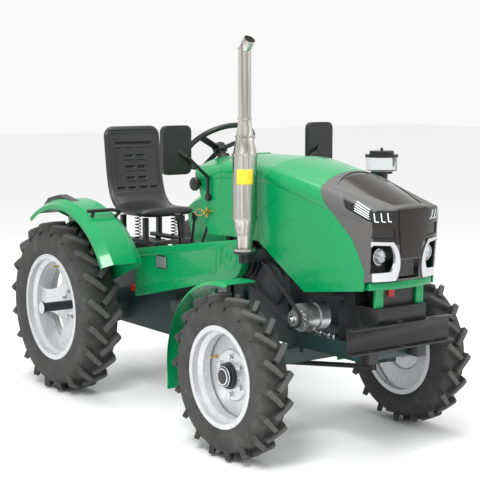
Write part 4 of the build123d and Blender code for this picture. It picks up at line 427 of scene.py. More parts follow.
def slab(outline, origin, right, up, thickness, edge):
    """Plate over a star-shaped outline (x, y) in the plane origin + x*right + y*up, thick along right x up.

    Its rows are the outline's heart, the outline drawn in by the edge, the full outline low and high, the outline
    drawn in again and the heart.
    """
    heart = outline.mean(axis=0)
    shrink = 1 - edge / np.abs(outline - heart).max()
    rows = [(0.0, 0), (shrink, 0), (1.0, edge), (1.0, thickness - edge), (shrink, thickness), (0.0, thickness)]
    right, up = unit(right), unit(up)
    out = np.cross(right, up)
    points = []
    for scale, height in rows:
        flat = heart + (outline - heart) * scale
        points.append(np.asarray(origin) + flat[:, :1] * right + flat[:, 1:] * up + height * out)
    return outward(np.concatenate(points), grid_faces(len(rows), len(outline)))


def box_outline(width, height, corner):
    """Rectangle about the origin, its corners rounded by arcs of the given radius."""
    quarter = np.linspace(0, pi / 2, 5)
    parts = []
    for k, (sx, sy) in enumerate(((1, 1), (-1, 1), (-1, -1), (1, -1))):
        centre = np.array((sx * (width / 2 - corner), sy * (height / 2 - corner)))
        turn = quarter + k * pi / 2
        parts.append(centre + corner * np.stack([np.cos(turn), np.sin(turn)], axis=1))
    return np.concatenate(parts)


def nut(place, axis, width, height, stud=0.0):
    """Six-sided nut with a chamfered top and a round washer; a stud stands out of it by the given length."""
    place, axis = np.asarray(place, float), unit(axis)
    r, washer, end = width / 2, 0.0016, height + stud
    parts = [turned([(0, 0), (0, r * 1.3), (washer, r * 1.3), (washer, 0)], place, axis, 20),
             turned([(washer, 0), (washer, r), (height * 0.82, r), (height, r * 0.86), (height, 0)], place, axis, 6)]
    if stud > 0:
        parts.append(turned([(height, 0), (height, r * 0.52), (end - 0.001, r * 0.52), (end, r * 0.42), (end, 0)],
                            place, axis, 12))
    return parts


def nut_circle(centre, side, radius, count, first, width, height, stud=0.0):
    """Outward nuts on a circle about a wheel's axle; first is the angle of the first one in degrees."""
    x, y, z = centre
    turns = radians(first) + np.arange(count) * 2 * pi / count
    places = np.stack([np.full(count, x), y + radius * np.cos(turns), z + radius * np.sin(turns)], axis=1)
    return [part for place in places for part in nut(place, (side, 0, 0), width, height, stud)]


def repeated(points, quads, turns, centre):
    """Copies of a piece turned about the X axis through centre: (y, z) goes to (y cos - z sin, y sin + z cos)."""
    local = points - centre
    c, s = np.cos(turns)[:, None], np.sin(turns)[:, None]
    y, z = local[:, 1], local[:, 2]
    every = np.stack([np.broadcast_to(local[:, 0], (len(turns), len(local))), y * c - z * s, y * s + z * c], axis=2)
    shift = np.arange(len(turns))[:, None, None] * len(local)
    return (every + centre).reshape(-1, 3), (quads + shift).reshape(-1, 4)


def make_piece(name, parts, body, material, sharp=35.0):
    """Makes one mesh object from (points, quads) pairs and lets it ride on a CAD body.

    Points of one part that fall together are merged, and a quad with a repeated corner becomes a triangle. Edges
    sharper than the given angle in degrees stay sharp.
    """
    points, faces, shift = [], [], 0
    for part, quads in parts:
        whole, index = np.unique(np.round(part, 7), axis=0, return_inverse=True)
        quads = index.reshape(-1)[quads]
        points.append(whole)
        same = quads == np.roll(quads, -1, axis=1)
        faces += (quads[~same.any(axis=1)] + shift).tolist()
        folded = same.sum(axis=1) == 1
        faces += (quads[folded] + shift)[~same[folded]].reshape(-1, 3).tolist()
        shift += len(whole)
    mesh = bpy.data.meshes.new(name)
    mesh.from_pydata(np.concatenate(points).tolist(), [], faces)
    mesh.validate()
    mesh.shade_smooth()
    mesh.set_sharp_from_angle(angle=radians(sharp))
    obj = bpy.data.objects.new(name, mesh)
    bpy.context.scene.collection.objects.link(obj)
    dress(obj, material)
    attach(obj, body)
    return obj


# ------------ tyres


def tyre_carcass(centre, half, flange_r, bead, foot):
    """Tyre without its lugs, a ring turned about the axle.

    The upper wall is x = half*cos(p)^0.5, r = mid + (foot - mid)*sin(p)^0.5; the lower wall is an ellipse from the
    widest point in to the bead. Three thin ribs stand on the wall, each of the form h*e^-((r - at)/w)^2.
    """
    mid = flange_r + 0.45 * (foot - flange_r)
    p = np.linspace(pi / 2, 0, 22)
    upper = np.stack([half * np.cos(p) ** 0.5, mid + (foot - mid) * np.sin(p) ** 0.5], axis=1)
    q = np.linspace(0, pi / 2, 20)[1:]
    lower = np.stack([bead + (half - bead) * np.cos(q) ** 0.85, mid - (mid - flange_r - 0.001) * np.sin(q)], axis=1)
    wall = np.concatenate([upper, lower])
    rib_height, rib_width = 0.0012, 0.0016
    for share in (0.12, 0.2, 0.72):
        at = flange_r + share * (foot - flange_r)
        wall[:, 0] += rib_height * np.exp(-((wall[:, 1] - at) / rib_width) ** 2) * (wall[:, 0] < half - 0.0015)
    bore = np.array([(bead - 0.001, flange_r - 0.012), (bead - 0.006, flange_r - 0.015)])
    side = np.concatenate([wall, bore])
    return turned(np.concatenate([side, side[:0:-1] * (-1, 1)]), centre, LEFT, 128, ring=True)


def tyre_lugs(centre, side, row, tread_r, half, foot, lugs, thickness):
    """One row of lugs. Along a lug s runs from past the centre plane to the shoulder; across it w.

    A point lies at x = s + w*cos(L), at the angle (-s*cot(L) + w*sin(L)) / R before the row's turn, and at a radius
    that falls off over the shoulder. The sides spread towards the foot, and the long edges are chamfered.
    """
    slant, overlap, chamfer = radians(46), 0.010, 0.0045
    reach = half - thickness / 2 * cos(slant)
    height = tread_r - foot
    s = np.array([-overlap, -0.0085, 0.12 * half, 0.4 * half, 0.7 * half, 0.80 * half, 0.87 * half, reach - 0.002,
                  reach])
    top = tread_r - height * np.array([0.06, 0.0, 0.0, 0.03, 0.09, 0.16, 0.34, 0.72, 0.95])
    base = np.minimum(top - 0.012, foot - height * np.array([0.2, 0.2, 0.2, 0.2, 0.3, 0.4, 0.6, 0.85, 1.0]))
    wide = thickness / 2 * np.array([0.78, 0.84, 0.88, 0.94, 1.0, 1.0, 1.0, 1.0, 0.97])
    w = np.array([-1.0, -0.94, -0.84, 0.0, 0.84, 0.94, 1.0, 1.18, 0.0, -1.18])
    drop = np.array([1.0, 0.35, 0.0, 0.0, 0.0, 0.35, 1.0, 0, 0, 0]) * chamfer
    on_top = np.arange(len(w)) < 7
    across = wide[:, None] * w
    radius = np.where(on_top, top[:, None] - drop, base[:, None])
    along = np.repeat(s[:, None], len(w), axis=1)
    ends = [0, *range(len(s)), len(s) - 1]
    across, radius, along = across[ends], radius[ends], along[ends]
    for k in (0, -1):
        across[k], radius[k] = 0.0, radius[k].mean()
    x = np.clip(along + across * cos(slant), -0.03, half)
    angle = (-along / np.tan(slant) + across * sin(slant)) / tread_r
    lug = np.stack([side * row * x, radius * np.cos(angle), radius * np.sin(angle)], axis=2).reshape(-1, 3)
    lead = np.arcsin(overlap / np.tan(slant) / tread_r)
    turns = radians(270) - lead + 2 * pi * (np.arange(lugs) + (row < 0) / 2) / lugs
    return outward(*repeated(lug + centre, grid_faces(len(s) + 2, len(w)), turns, np.asarray(centre)))


# ------------ wheels

TYRES = (  # wheel, lugs in a row, lug thickness, lug height, half width at the bead
    ("front", 18, 0.024, 0.030, 0.0572),
    ("rear", 20, 0.028, 0.034, 0.0797),
)


def build_tyres():
    """Tyres with a rounded wall and chamfered lugs; each stands for its CAD node.

    A tyre stands on the floor, so that its radius over the lugs is the height of its rim's centre.
    """
    for wheel, lugs, thickness, height, bead in TYRES:
        for side, word in SIDES:
            node = f"{wheel}_tyre_{word}"
            low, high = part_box(node)
            rim_low, rim_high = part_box(f"{wheel}_rim_{word}")
            centre = centre_of(node)
            tread_r = centre[2] = (rim_low.z + rim_high.z) / 2
            half = (high.x - low.x) / 2
            flange_r = (rim_high.z - rim_low.z) / 2
            foot = tread_r - height
            parts = [tyre_carcass(centre, half - 0.003, flange_r, bead, foot)]
            parts += [tyre_lugs(centre, side, row, tread_r, half, foot, lugs, thickness) for row in (1, -1)]
            tyre = make_piece(f"{node}_lugged", parts, f"{wheel}_wheel_{word}", "tyre_rubber", 40)
            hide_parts(node)
            spot = np.empty(len(tyre.data.vertices) * 3)
            tyre.data.vertices.foreach_get("co", spot)
            radius = np.hypot(*(spot.reshape(-1, 3) - centre).T[1:])
            share = tyre.data.attributes.new("tread", "FLOAT", "POINT")
            share.data.foreach_set("value", (radius - flange_r) / (tread_r - flange_r))


def build_front_hub(side, word, track):
    """Wheel nuts, hub ring, hub cap and valve of a front wheel; rows (h, r) run outward from the disc's plane."""
    x, y, z = side * track / 2, *centre_of(f"front_rim_{word}")[1:]
    out, body = (side, 0, 0), f"front_wheel_{word}"
    nuts = nut_circle((x - side * 0.006, y, z), side, radius=0.082, count=6, first=30, width=0.021, height=0.015)
    make_piece(f"front_nuts_{word}", nuts, body, "bright_trim", 30)
    ring = turned([(-0.006, 0.058), (0.010, 0.058), (0.012, 0.055), (0.024, 0.053), (0.026, 0.050), (0.026, 0.044),
                   (-0.006, 0.044)], (x, y, z), out, 48, ring=True)
    cap = turned([(0.026, 0.0), (0.026, 0.0445), (0.034, 0.0445), (0.040, 0.040), (0.0435, 0.034), (0.0445, 0.028),
                  (0.0445, 0.0)], (x, y, z), out, 48)
    make_piece(f"front_hub_ring_{word}", [ring], body, "black_paint", 30)
    make_piece(f"front_hub_cap_{word}", [cap], body, "black_plastic", 30)
    make_piece(f"front_valve_{word}", [valve((x - side * 0.016, y + 0.118, z + 0.06), side)], body, "brass")


def build_rear_hub(side, word, track):
    """Wheel nuts with studs, sleeve round the axle's end and valve of a rear wheel."""
    x, y, z = side * track / 2, *centre_of(f"rear_rim_{word}")[1:]
    out, body = (side, 0, 0), f"rear_wheel_{word}"
    nuts = nut_circle((x - side * 0.055, y, z), side, radius=0.073, count=8, first=22.5, width=0.024, height=0.017,
                      stud=0.016)
    make_piece(f"rear_nuts_{word}", nuts, body, "bright_trim", 30)
    sleeve = turned([(-0.058, 0.0228), (-0.058, 0.0237), (0.1244, 0.0237), (0.1246, 0.0296), (0.1330, 0.0296),
                     (0.1338, 0.0288), (0.1338, 0.0228)], (x, y, z), out, 40, ring=True)
    make_piece(f"rear_axle_end_{word}", [sleeve], body, "black_paint", 30)
    make_piece(f"rear_valve_{word}", [valve((x + side * 0.004, y + 0.045, z + 0.200), side)], body, "brass")


def valve(place, side):
    """Brass tyre valve with a wide foot and a knurled cap, pointing outward."""
    rows = [(-0.002, 0), (-0.002, 0.0075), (0.006, 0.0065), (0.010, 0.0042), (0.026, 0.0038), (0.027, 0.0052),
            (0.035, 0.0052), (0.036, 0.004), (0.036, 0)]
    return turned(rows, place, (side, 0, 0), 16)


# ------------ seat

SEAT_SPINE = ((0.002, 0.027), (0.242, 0.022), (0.330, 0.116), (0.3745, 0.4655))  # (y, z) from the box's low corner


def soft_box(value, centre, half, edge=0.0008):
    """1 within half of the centre, 0 outside: the logistic 1 / (1 + e^-t) of the distance inside over the edge."""
    inside = np.clip((half - np.abs(value - centre)) / edge, -40, 40)
    return 1 / (1 + np.exp(-inside))


def seat_relief(x, h, length, half):
    """Height of the sitter's side over a smooth cushion, from x across and h, the way down from the top of the back.

    It is a groove and a swell along the border, e^-((d - at)/w)^2 in the distance d from the edge, and a table of
    soft boxes: the rise of each, then its centre, half size and edge across the seat and down it.
    """
    ax = np.abs(x)
    d = np.minimum(np.minimum(half - ax, h), length - h)
    relief = -0.0024 * np.exp(-((d - 0.027) / 0.0022) ** 2) + 0.0016 * np.exp(-((d - 0.020) / 0.006) ** 2)
    boxes = [
        (-0.0035, (0, 0.140, 0.002), (0.200, 0.160, 0.002)),             # sunk panel of the back
        (-0.0050, (0, 0.120, 0.008), (length - 0.125, 0.085, 0.012)),    # sunk pan
        (-0.0026, (0, 0.126), (0.030, 0.0028)),                          # seam under the top roll
        (-0.0085, (0, 0.118), (0.094, 0.0042)),                          # long slot
    ]
    for column in (0.036, 0.101):
        boxes += [(0.0030, (column, 0.024), (0.113, 0.0045)), (-0.0080, (column, 0.024), (0.338, 0.0034))]
    for row in (0.163, 0.223, 0.283):
        boxes += [(-0.0085, (0.036, 0.025), (row, 0.0050)), (0.0030, (0.036, 0.025), (row + 0.017, 0.0042))]
    boxes += [(-0.0012, (seam, 0.0012), (0.230, 0.105)) for seam in (0.0, 0.079, 0.132)]
    for rise, across, down in boxes:
        relief += rise * soft_box(ax, *across) * soft_box(h, *down)
    return relief


def seat_spine(low):
    """Spine from the front lip of the pan to the top of the back: distances, points (y, z) and normals.

    The points lie closer together near both ends, and the tangents are averaged over their neighbours.
    """
    spine = rounded(SEAT_SPINE, 40, 0.42) + (low.y, low.z)
    step = np.concatenate([[0], np.cumsum(np.linalg.norm(np.diff(spine, axis=0), axis=1))])
    length = step[-1]
    spread = np.concatenate([length / 2 * (1 - np.cos(np.linspace(0, 0.35, 14))),
                             np.linspace(0.022, length - 0.02, 300),
                             length - 0.017 * np.cos(np.linspace(0.2, pi / 2, 12))])
    s = np.unique(np.clip(spread, 0, length))
    place = np.stack([np.interp(s, step, spine[:, k]) for k in (0, 1)], axis=1)
    tangent = unit(np.gradient(place, s, axis=0))
    for _ in range(12):
        tangent[1:-1] = unit(tangent[:-2] + 2 * tangent[1:-1] + tangent[2:])
    return s, length, place, np.stack([-tangent[:, 1], tangent[:, 0]], axis=1)


def build_seat():
    """Foam seat: a rounded section carried along the spine.

    At the distance d from an end the half width is W - R + sqrt(R^2 - (R - d)^2) and the half thickness falls off as
    sqrt(1 - (1 - d/r)^2). Across, x = W*sin(a), and the thickness goes with (1 - |x/W|^4)^0.5.
    """
    low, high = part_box("seat")
    half, corner, lip = (high.x - low.x) / 2 - 0.001, 0.056, 0.024
    s, length, place, normal = seat_spine(low)
    d = np.minimum(s, length - s)
    inner = np.minimum(d, corner)
    width = half - corner + np.sqrt(corner ** 2 - (corner - inner) ** 2)
    thick = (0.0235 - 0.004 * soft_box(s, length, 0.40, 0.03)) * np.sqrt(1 - (1 - np.minimum(d, lip) / lip) ** 2)
    top, under = np.linspace(-pi / 2, pi / 2, 150), np.linspace(pi / 2, 3 * pi / 2, 40)[1:-1]
    a = np.concatenate([top, under])
    x = width[:, None] * np.sin(a)
    share = np.sqrt(1 - np.minimum(np.abs(np.sin(a)), 1) ** 4)
    face = np.where(np.arange(len(a)) < len(top), 1.0, -1.0)
    rise = face * share * thick[:, None]
    relief = seat_relief(x, (length - s)[:, None] + 0 * x, length, half) * (face > 0) * np.minimum(1, share * 3)
    rise = rise + relief * np.minimum(1, thick[:, None] / 0.012)
    points = np.stack([x, place[:, :1] + rise * normal[:, :1], place[:, 1:] + rise * normal[:, 1:]], axis=2)
    caps = [np.repeat(points[k].mean(axis=0)[None, None], len(a), axis=1) for k in (0, -1)]
    points = np.concatenate([caps[0], points, caps[1]])
    cushion = make_piece("seat_cushion", [outward(points.reshape(-1, 3), grid_faces(len(points), len(a)))], "chassis",
                         "seat_vinyl", 60)
    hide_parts("seat")


def build_seat_springs():
    """Two coil springs between the seat's frame and its pan."""
    low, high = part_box("seat_frame")
    turns = np.linspace(0, 2 * pi * 7, 112)
    radius, rise = 0.015, 0.119
    springs = []
    for x in (-0.112, 0.112):
        coil = np.stack([x + radius * np.cos(turns), low.y + 0.17 + radius * np.sin(turns),
                         high.z - 0.116 + rise * turns / turns[-1]], axis=1)
        springs.append(piped(coil, 0.0028))
    make_piece("seat_springs", springs, "chassis", "black_paint")


# ------------ nose


def lamp_strips(name, lines, width, axis):
    """Thin bars on the headlamps: flat strips beside them are pressed on along an axis and thickened."""
    parts = []
    axis = np.asarray(axis, float)
    rows = 14
    for first, last in lines:
        first, last = np.asarray(first, float), np.asarray(last, float)
        across = unit(np.cross(last - first, axis)) * width / 2
        along = first + (last - first) * np.linspace(0, 1, rows)[:, None]
        points = np.stack([along - across, along, along + across], axis=1).reshape(-1, 3)
        quads = sheet_faces(rows, 3)
        a, b, c = points[quads[0, :3]]
        parts.append((points, quads if np.dot(np.cross(b - a, c - b), axis) > 0 else quads[:, ::-1]))
    bars = make_piece(name, parts, "hood", "lamp_white")
    press = bars.modifiers.new("press", "SHRINKWRAP")
    press.target, press.wrap_method = frame["nodes"]["headlamps"], "PROJECT"
    press.use_project_x, press.use_project_y, press.use_project_z = bool(axis[0]), bool(axis[1]), False
    press.use_negative_direction = press.use_positive_direction = True
    thick = bars.modifiers.new("thick", "SOLIDIFY")
    thick.thickness, thick.offset = 0.0012, 1.0


def build_lamp_bars(side, word):
    """Bars of a headlamp: five on its side, which climb to the rear, and three bent ones in front."""
    low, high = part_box("headlamps")
    slope, spacing, clear_of = 0.34, 0.0074, 0.03
    bars = []
    for k in range(5):
        ends = (high.y - 0.086 + 0.003 * k, high.y - 0.172 + 0.004 * k)
        rises = [high.z - 0.048 + (y - high.y + 0.052) * slope + 0.0065 + spacing * k for y in ends]
        bars.append([(side * (high.x + clear_of), y, z) for y, z in zip(ends, rises)])
    lamp_strips(f"lamp_bars_{word}", bars, 0.0035, (side, 0, 0))
    uprights = []
    for k in range(3):
        x, near = side * (0.177 - 0.026 * k), low.y - clear_of
        heel = (x - side * 0.006, near, low.z + 0.0125)
        uprights += [((x, near, low.z + 0.047), heel), (heel, (x - side * 0.020, near, low.z + 0.0105))]
    lamp_strips(f"lamp_uprights_{word}", uprights, 0.0045, FORWARD)


def build_round_lamp(side, word):
    """Bezel, bowl, bulb and glass of a round lamp, turned from rows (h, r) about an axis that points forward."""
    low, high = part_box("round_lamps")
    centre = (side * (high.x - 0.034), low.y, (low.z + high.z) / 2)
    bezel = turned([(-0.002, 0.030), (0.004, 0.0345), (0.010, 0.035), (0.010, 0.031), (0.003, 0.0275)], centre,
                   FORWARD, 48, ring=True)
    bowl = turned([(0.0006, 0), (0.0006, 0.008), (0.001, 0.012), (0.003, 0.020), (0.006, 0.0275), (0.0035, 0.0295),
                   (0.0002, 0.0295), (0.0002, 0)], centre, FORWARD, 48)
    bulb = turned([(0.0, 0), (0.0, 0.0055), (0.008, 0.0055), (0.011, 0.0035), (0.012, 0)], centre, FORWARD, 24)
    glass = turned([(0.0075, 0), (0.0075, 0.028), (0.0088, 0.028), (0.0115, 0.018), (0.0128, 0.008), (0.013, 0)],
                   centre, FORWARD, 48)
    make_piece(f"round_lamp_bezel_{word}", [bezel, bowl, bulb], "hood", "bright_trim", 40)
    make_piece(f"round_lamp_glass_{word}", [glass], "hood", "clear_glass", 60)


def build_grille_bars():
    """Fine upright bars of the grille and the two rails they stand behind."""
    low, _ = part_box("grille")
    bar_y, rail_y = FRONT_AXLE_Y - 0.5095, FRONT_AXLE_Y - 0.506
    parts = []
    for x in np.linspace(-0.050, 0.050, 15):
        parts.append(piped([(x, bar_y, low.z + 0.012 + 0.068 * t) for t in np.linspace(0, 1, 5)], 0.0018))
    for z in (low.z + 0.018, low.z + 0.074):
        parts.append(piped([(x, rail_y, z) for x in np.linspace(-0.052, 0.052, 5)], 0.0024))
    make_piece("grille_fine_bars", parts, "hood", "bar_grey")


# ------------ body


def build_exhaust_marks():
    """A near-black disc in the slanted mouth of the exhaust stack, for its soot and the painted shade down the pipe,
    and the yellow label laid round its muffler.
    """
    low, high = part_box("muffler_stack")
    axis_x, axis_y = (low.x + high.x) / 2, (low.y + high.y) / 2
    mouth, leaning = np.array((axis_x, axis_y - 0.034, high.z - 0.0165)), (0.0, -0.034, 0.042)
    # near-black disc a little inside the mouth: soot, and painted shade for the pipe's depth
    soot = turned([(-0.006, 0), (-0.006, 0.0262), (-0.004, 0.0262), (-0.004, 0)], mouth, leaning, 32)
    make_piece("exhaust_soot_and_shade", [soot], "chassis", "soot", 30)
    rows, columns, radius = 24, 12, 0.07
    heading, half_turn = radians(234), 0.72
    turn, rise = np.meshgrid(heading + np.linspace(-half_turn, half_turn, rows), np.linspace(1.148, 1.214, columns),
                             indexing="ij")
    label = np.stack([axis_x + radius * np.cos(turn), axis_y + radius * np.sin(turn), rise], axis=2).reshape(-1, 3)
    quads = sheet_faces(rows, columns)[:, [0, 3, 2, 1]]
    sticker = make_piece("exhaust_label", [(label, quads)], "chassis", "yellow_label")
    press = sticker.modifiers.new("press", "SHRINKWRAP")
    press.target, press.wrap_method, press.offset = frame["nodes"]["muffler_stack"], "NEAREST_SURFACEPOINT", 0.0004
    sticker.modifiers.new("thick", "SOLIDIFY").thickness = 0.0004


def build_name_plate():
    """Black name plate on the belt guard, with a bright face held by four rivets."""
    low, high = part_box("belt_guard")
    x, y, z = low.x, high.y - 0.250, high.z - 0.172
    plate = slab(box_outline(0.100, 0.066, 0.004), (x - 0.0002, y, z), FORWARD, UP, 0.0016, 0.0006)
    make_piece("name_plate", [plate], "chassis", "black_paint", 30)
    face = slab(box_outline(0.088, 0.054, 0.003), (x - 0.0016, y, z), FORWARD, UP, 0.0006, 0.0003)
    dome = [(0.0, 0), (0.0, 0.0028), (0.0016, 0.0022), (0.0022, 0)]
    rivets = [turned(dome, (x - 0.0014, y + dy, z + dz), RIGHT, 12)
              for dy in (-0.046, 0.046) for dz in (-0.030, 0.030)]
    make_piece("name_plate_face", [face] + rivets, "chassis", "cast_aluminium", 30)


def build_mirror_glasses():
    """Glass of each mirror, set in the rear of its shell."""
    _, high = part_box("mirrors")
    width, height, border = 0.152, 0.222, 0.009
    for side, word in SIDES:
        place = (side * (high.x - width / 2), high.y - 0.0055, high.z - height / 2)
        glass = slab(box_outline(width - 2 * border, height - 2 * border, 0.022), place, RIGHT, UP, 0.003, 0.001)
        make_piece(f"mirror_glass_{word}", [glass], "chassis", "mirror_glass", 30)


def build_nuts():
    """Pulley nut of the alternator, and the three bolts on top of the right chassis rail."""
    low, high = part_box("alternator")
    place = (low.x + 0.0005, (low.y + high.y) / 2, (low.z + high.z) / 2)
    make_piece("alternator_nut", nut(place, RIGHT, 0.024, 0.014, 0.004), "chassis", "bright_trim", 30)
    low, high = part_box("chassis_rails")
    bolts = [part for back in (-0.245, -0.215, -0.160)
             for part in nut((low.x + 0.014, FRONT_AXLE_Y + back, high.z), UP, 0.018, 0.012, 0.006)]
    make_piece("rail_bolts", bolts, "chassis", "bright_trim", 30)


def build_lead_cover():
    """Red cover over the battery's lead, on its front face."""
    low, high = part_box("battery")
    cover = slab(box_outline(0.034, 0.050, 0.008), (-0.047, low.y, high.z - 0.040), LEFT, UP, 0.010, 0.003)
    make_piece("battery_lead_cover", [cover], "chassis", "red_cover", 40)


def build_horn():
    """Horn on the right side of the dash cowl, turned from rows (h, r) outward."""
    low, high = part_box("dash_cowl")
    horn = turned([(-0.040, 0), (-0.040, 0.010), (0.008, 0.012), (0.013, 0.028), (0.020, 0.032), (0.030, 0.032),
                   (0.036, 0.028), (0.040, 0.016), (0.041, 0)], (low.x, high.y - 0.065, high.z - 0.146), RIGHT, 40)
    make_piece("horn", [horn], "chassis", "black_plastic", 40)


def build_fuel_tap():
    """Brass fuel tap beside the horn: body, cross pipe and a lever bent to a loop."""
    low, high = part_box("dash_cowl")
    tap = np.array((low.x, high.y - 0.147, low.z + 0.103))
    body = turned([(-0.040, 0), (-0.040, 0.012), (0.004, 0.012), (0.005, 0.008), (0.022, 0.008), (0.023, 0.0105),
                   (0.030, 0.0105), (0.031, 0)], tap, RIGHT, 24)
    cross = turned([(-0.022, 0), (-0.022, 0.006), (0.022, 0.006), (0.022, 0)], tap + (-0.013, 0, 0), UP, 18)
    loop = [(-0.027, 0.0, 0.0), (-0.029, 0.030, 0.012), (-0.029, 0.070, 0.004), (-0.029, 0.070, -0.018),
            (-0.029, 0.030, -0.020), (-0.027, 0.0, 0.0)]
    lever = rounded(tap + np.array(loop), 7, 0.35)
    make_piece("fuel_tap", [body, cross, piped(lever, 0.0028, 10)], "chassis", "brass", 40)


def build_battery_terminals():
    """Post and clamp of each terminal; the right one is red."""
    low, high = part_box("battery")
    for side, word in SIDES:
        x, y = side * 0.045, low.y + 0.048
        post = turned([(0, 0), (0, 0.010), (0.006, 0.010), (0.012, 0.008), (0.013, 0)], (x, y, high.z), UP, 20)
        clamp = slab(box_outline(0.034, 0.022, 0.006), (x, y, high.z - 0.001), LEFT, (0, 1, 0), 0.009, 0.002)
        colour = "black_plastic" if side > 0 else "red_cover"
        make_piece(f"battery_terminal_{word}", [post, clamp], "chassis", colour, 30)


# ------------ stage

LIGHTS = (  # name, place, turn in degrees, size, power
    ("key", (-3.2, FRONT_AXLE_Y - 2.0, 4.6), (38, 0, -52), 1.5, 190.0),
    ("fill", (3.6, FRONT_AXLE_Y - 3.4, 3.2), (58, 0, 40), 3.0, 30.0),
    ("top", (0.0, 0.4, 5.2), (0, 0, 0), 3.0, 110.0),
)


def build_floor(size):
    """Pale square floor under the wheels."""
    half = size / 2
    mesh = bpy.data.meshes.new("floor")
    mesh.from_pydata([(-half, -half, 0), (half, -half, 0), (half, half, 0), (-half, half, 0)], [], [(0, 1, 2, 3)])
    floor = bpy.data.objects.new("floor", mesh)
    bpy.context.scene.collection.objects.link(floor)
    shader = Shader("floor")
    shader.set(Base_Color=(0.93, 0.93, 0.93, 1.0), Roughness=0.9, Specular_IOR_Level=0.1)
    mesh.materials.append(shader.material)


def build_world(strength):
    """Even white light from all sides."""
    world = bpy.data.worlds.new("studio")
    world.use_nodes = True
    background = world.node_tree.nodes["Background"]
    background.inputs["Color"].default_value = (1.0, 1.0, 1.0, 1.0)
    background.inputs["Strength"].default_value = strength
    bpy.context.scene.world = world


def stand(name, data, place, turn):
    """Puts a light or a camera in the scene, turned by three angles in degrees."""
    obj = bpy.data.objects.new(name, data)
    obj.location = place
    obj.rotation_euler = Euler([radians(angle) for angle in turn])
    bpy.context.scene.collection.objects.link(obj)
    return obj


# ------------ sizes and colours


class TractorStage(bpy.types.PropertyGroup):
    """Sizes of the floor, the light and the camera."""

    world_strength: FloatProperty(name="World strength", description="Strength of the even white light", default=0.95)
    floor_size: FloatProperty(name="Floor size", description="Side of the square floor", default=60.0, unit="LENGTH")
    lens: FloatProperty(name="Lens", description="Focal length in millimetres, on a 36 mm sensor", default=93.46)
    camera_place: FloatVectorProperty(name="Camera place", description="Camera position", unit="LENGTH",
                                      default=(-3.512, FRONT_AXLE_Y - 4.1876, 1.5831))
    azimuth: FloatProperty(name="Azimuth", description="Heading of the view from +Y towards +X, in degrees",
                           default=36.1)
    pitch: FloatProperty(name="Pitch", description="Downward tilt of the view, in degrees", default=7.2)


class TractorWheels(bpy.types.PropertyGroup):
    """Sizes of the wheels."""

    front_track: FloatProperty(name="Front track", description="Between the front wheel centres", default=1.016,
                               unit="LENGTH")
    rear_track: FloatProperty(name="Rear track", description="Between the rear wheel centres", default=0.98,
                              unit="LENGTH")


class TractorFinish(bpy.types.PropertyGroup):
    """Main colours and the rounding of blocky edges."""

    green: FloatVectorProperty(name="Green", description="Colour of the bodywork", subtype="COLOR", size=3,
                               default=(0.0, 0.27, 0.085))
    black: FloatVectorProperty(name="Black", description="Colour of the black paint and plastic", subtype="COLOR",
                               size=3, default=(0.012, 0.012, 0.013))
    rubber: FloatVectorProperty(name="Rubber", description="Colour of the tyres", subtype="COLOR", size=3,
                                default=(0.046, 0.046, 0.045))
    edge_width: FloatProperty(name="Edge width", description="Width of the rounded edges", default=0.0015,
                              unit="LENGTH")


class TRACTOR_OT_finish(bpy.types.Operator):
    """Makes every material and puts each on the CAD nodes of its slot"""

    bl_idname = "tractor.finish"
    bl_label = "Finishes"

    def execute(self, context):
        finish = context.scene.tractor_finish
        MATERIALS.update(finishes(finish))
        for entry in frame["record"]["subparts"]:
            node = frame["nodes"][entry["node"]]
            dress(node, entry["material_slot"])
            node.data.shade_smooth()
            if entry["node"] in BLOCKY:
                node.modifiers.new("joined", "WELD").merge_threshold = 0.00001
                edges = node.modifiers.new("edges", "BEVEL")
                edges.width, edges.segments, edges.limit_method = finish.edge_width, 2, "ANGLE"
                edges.angle_limit, edges.harden_normals, edges.use_clamp_overlap = radians(38), True, True
            else:
                node.modifiers.new("edges", "EDGE_SPLIT").split_angle = radians(32)
        return {"FINISHED"}


class TRACTOR_OT_wheels(bpy.types.Operator):
    """Makes the tyres, wheel nuts, hub rings and valves"""

    bl_idname = "tractor.wheels"
    bl_label = "Wheels"

    def execute(self, context):
        sizes = context.scene.tractor_wheels
        build_tyres()
        for side, word in SIDES:
            build_front_hub(side, word, sizes.front_track)
            build_rear_hub(side, word, sizes.rear_track)
        return {"FINISHED"}


class TRACTOR_OT_seat(bpy.types.Operator):
    """Makes the foam seat and the springs under it"""

    bl_idname = "tractor.seat"
    bl_label = "Seat"

    def execute(self, context):
        build_seat()
        build_seat_springs()
        return {"FINISHED"}


class TRACTOR_OT_lamps(bpy.types.Operator):
    """Makes the bars of the headlamps and the round lamps"""

    bl_idname = "tractor.lamps"
    bl_label = "Lamps"

    def execute(self, context):
        for side, word in SIDES:
            build_lamp_bars(side, word)
            build_round_lamp(side, word)
        return {"FINISHED"}


class TRACTOR_OT_grille(bpy.types.Operator):
    """Makes the fine bars of the grille"""

    bl_idname = "tractor.grille"
    bl_label = "Grille"

    def execute(self, context):
        build_grille_bars()
        return {"FINISHED"}


class TRACTOR_OT_exhaust(bpy.types.Operator):
    """Makes the near-black disc in the exhaust's mouth, soot and painted shade, and the label of the exhaust"""

    bl_idname = "tractor.exhaust"
    bl_label = "Exhaust"

    def execute(self, context):
        build_exhaust_marks()
        return {"FINISHED"}


class TRACTOR_OT_plates(bpy.types.Operator):
    """Makes the name plate and the mirror glasses"""

    bl_idname = "tractor.plates"
    bl_label = "Plates"

    def execute(self, context):
        build_name_plate()
        build_mirror_glasses()
        return {"FINISHED"}


class TRACTOR_OT_fixings(bpy.types.Operator):
    """Makes the alternator's nut, the rail bolts and the cover of the battery's lead"""

    bl_idname = "tractor.fixings"
    bl_label = "Fixings"

    def execute(self, context):
        build_nuts()
        build_lead_cover()
        return {"FINISHED"}


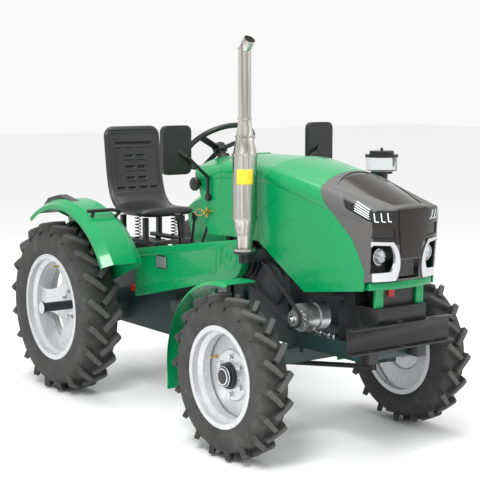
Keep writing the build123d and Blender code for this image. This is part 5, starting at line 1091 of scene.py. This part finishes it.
class TRACTOR_OT_fittings(bpy.types.Operator):
    """Makes the horn, the fuel tap and the battery's terminals"""

    bl_idname = "tractor.fittings"
    bl_label = "Fittings"

    def execute(self, context):
        build_horn()
        build_fuel_tap()
        build_battery_terminals()
        return {"FINISHED"}


class TRACTOR_OT_stage(bpy.types.Operator):
    """Lays the pale floor and sets the soft light and the camera"""

    bl_idname = "tractor.stage"
    bl_label = "Floor, light and camera"

    def execute(self, context):
        stage = context.scene.tractor_stage
        build_floor(stage.floor_size)
        build_world(stage.world_strength)
        context.scene.view_settings.view_transform = "Standard"
        for name, place, turn, size, power in LIGHTS:
            data = bpy.data.lights.new(name, "AREA")
            data.energy, data.size = power, size
            stand(name, data, place, turn)
        data = bpy.data.cameras.new("camera")
        data.lens, data.sensor_width, data.clip_end = stage.lens, 36.0, 200.0
        camera = stand("camera", data, stage.camera_place, (90 - stage.pitch, 0, -stage.azimuth))
        context.scene.camera = camera
        return {"FINISHED"}


class TRACTOR_PT_panel(bpy.types.Panel):
    """Sidebar panel that lists the steps"""

    bl_label = "Tractor"
    bl_idname = "TRACTOR_PT_panel"
    bl_space_type = "VIEW_3D"
    bl_region_type = "UI"
    bl_category = "Tractor"

    def draw(self, context):
        for operator in OPERATORS:
            self.layout.operator(operator.bl_idname)


OPERATORS = (TRACTOR_OT_finish, TRACTOR_OT_wheels, TRACTOR_OT_seat, TRACTOR_OT_lamps, TRACTOR_OT_grille,
             TRACTOR_OT_exhaust, TRACTOR_OT_plates, TRACTOR_OT_fixings, TRACTOR_OT_fittings, TRACTOR_OT_stage)
GROUPS = (("tractor_finish", TractorFinish), ("tractor_wheels", TractorWheels), ("tractor_stage", TractorStage))


def register():
    for name, group in GROUPS:
        bpy.utils.register_class(group)
        setattr(bpy.types.Scene, name, PointerProperty(type=group))
    for operator in OPERATORS:
        bpy.utils.register_class(operator)
    bpy.utils.register_class(TRACTOR_PT_panel)


def unregister():
    bpy.utils.unregister_class(TRACTOR_PT_panel)
    for operator in reversed(OPERATORS):
        bpy.utils.unregister_class(operator)
    for name, group in reversed(GROUPS):
        delattr(bpy.types.Scene, name)
        bpy.utils.unregister_class(group)


def main():
    register()
    for operator in OPERATORS:
        area, action = operator.bl_idname.split(".")
        getattr(getattr(bpy.ops, area), action)()


if __name__ == "__main__":
    main()
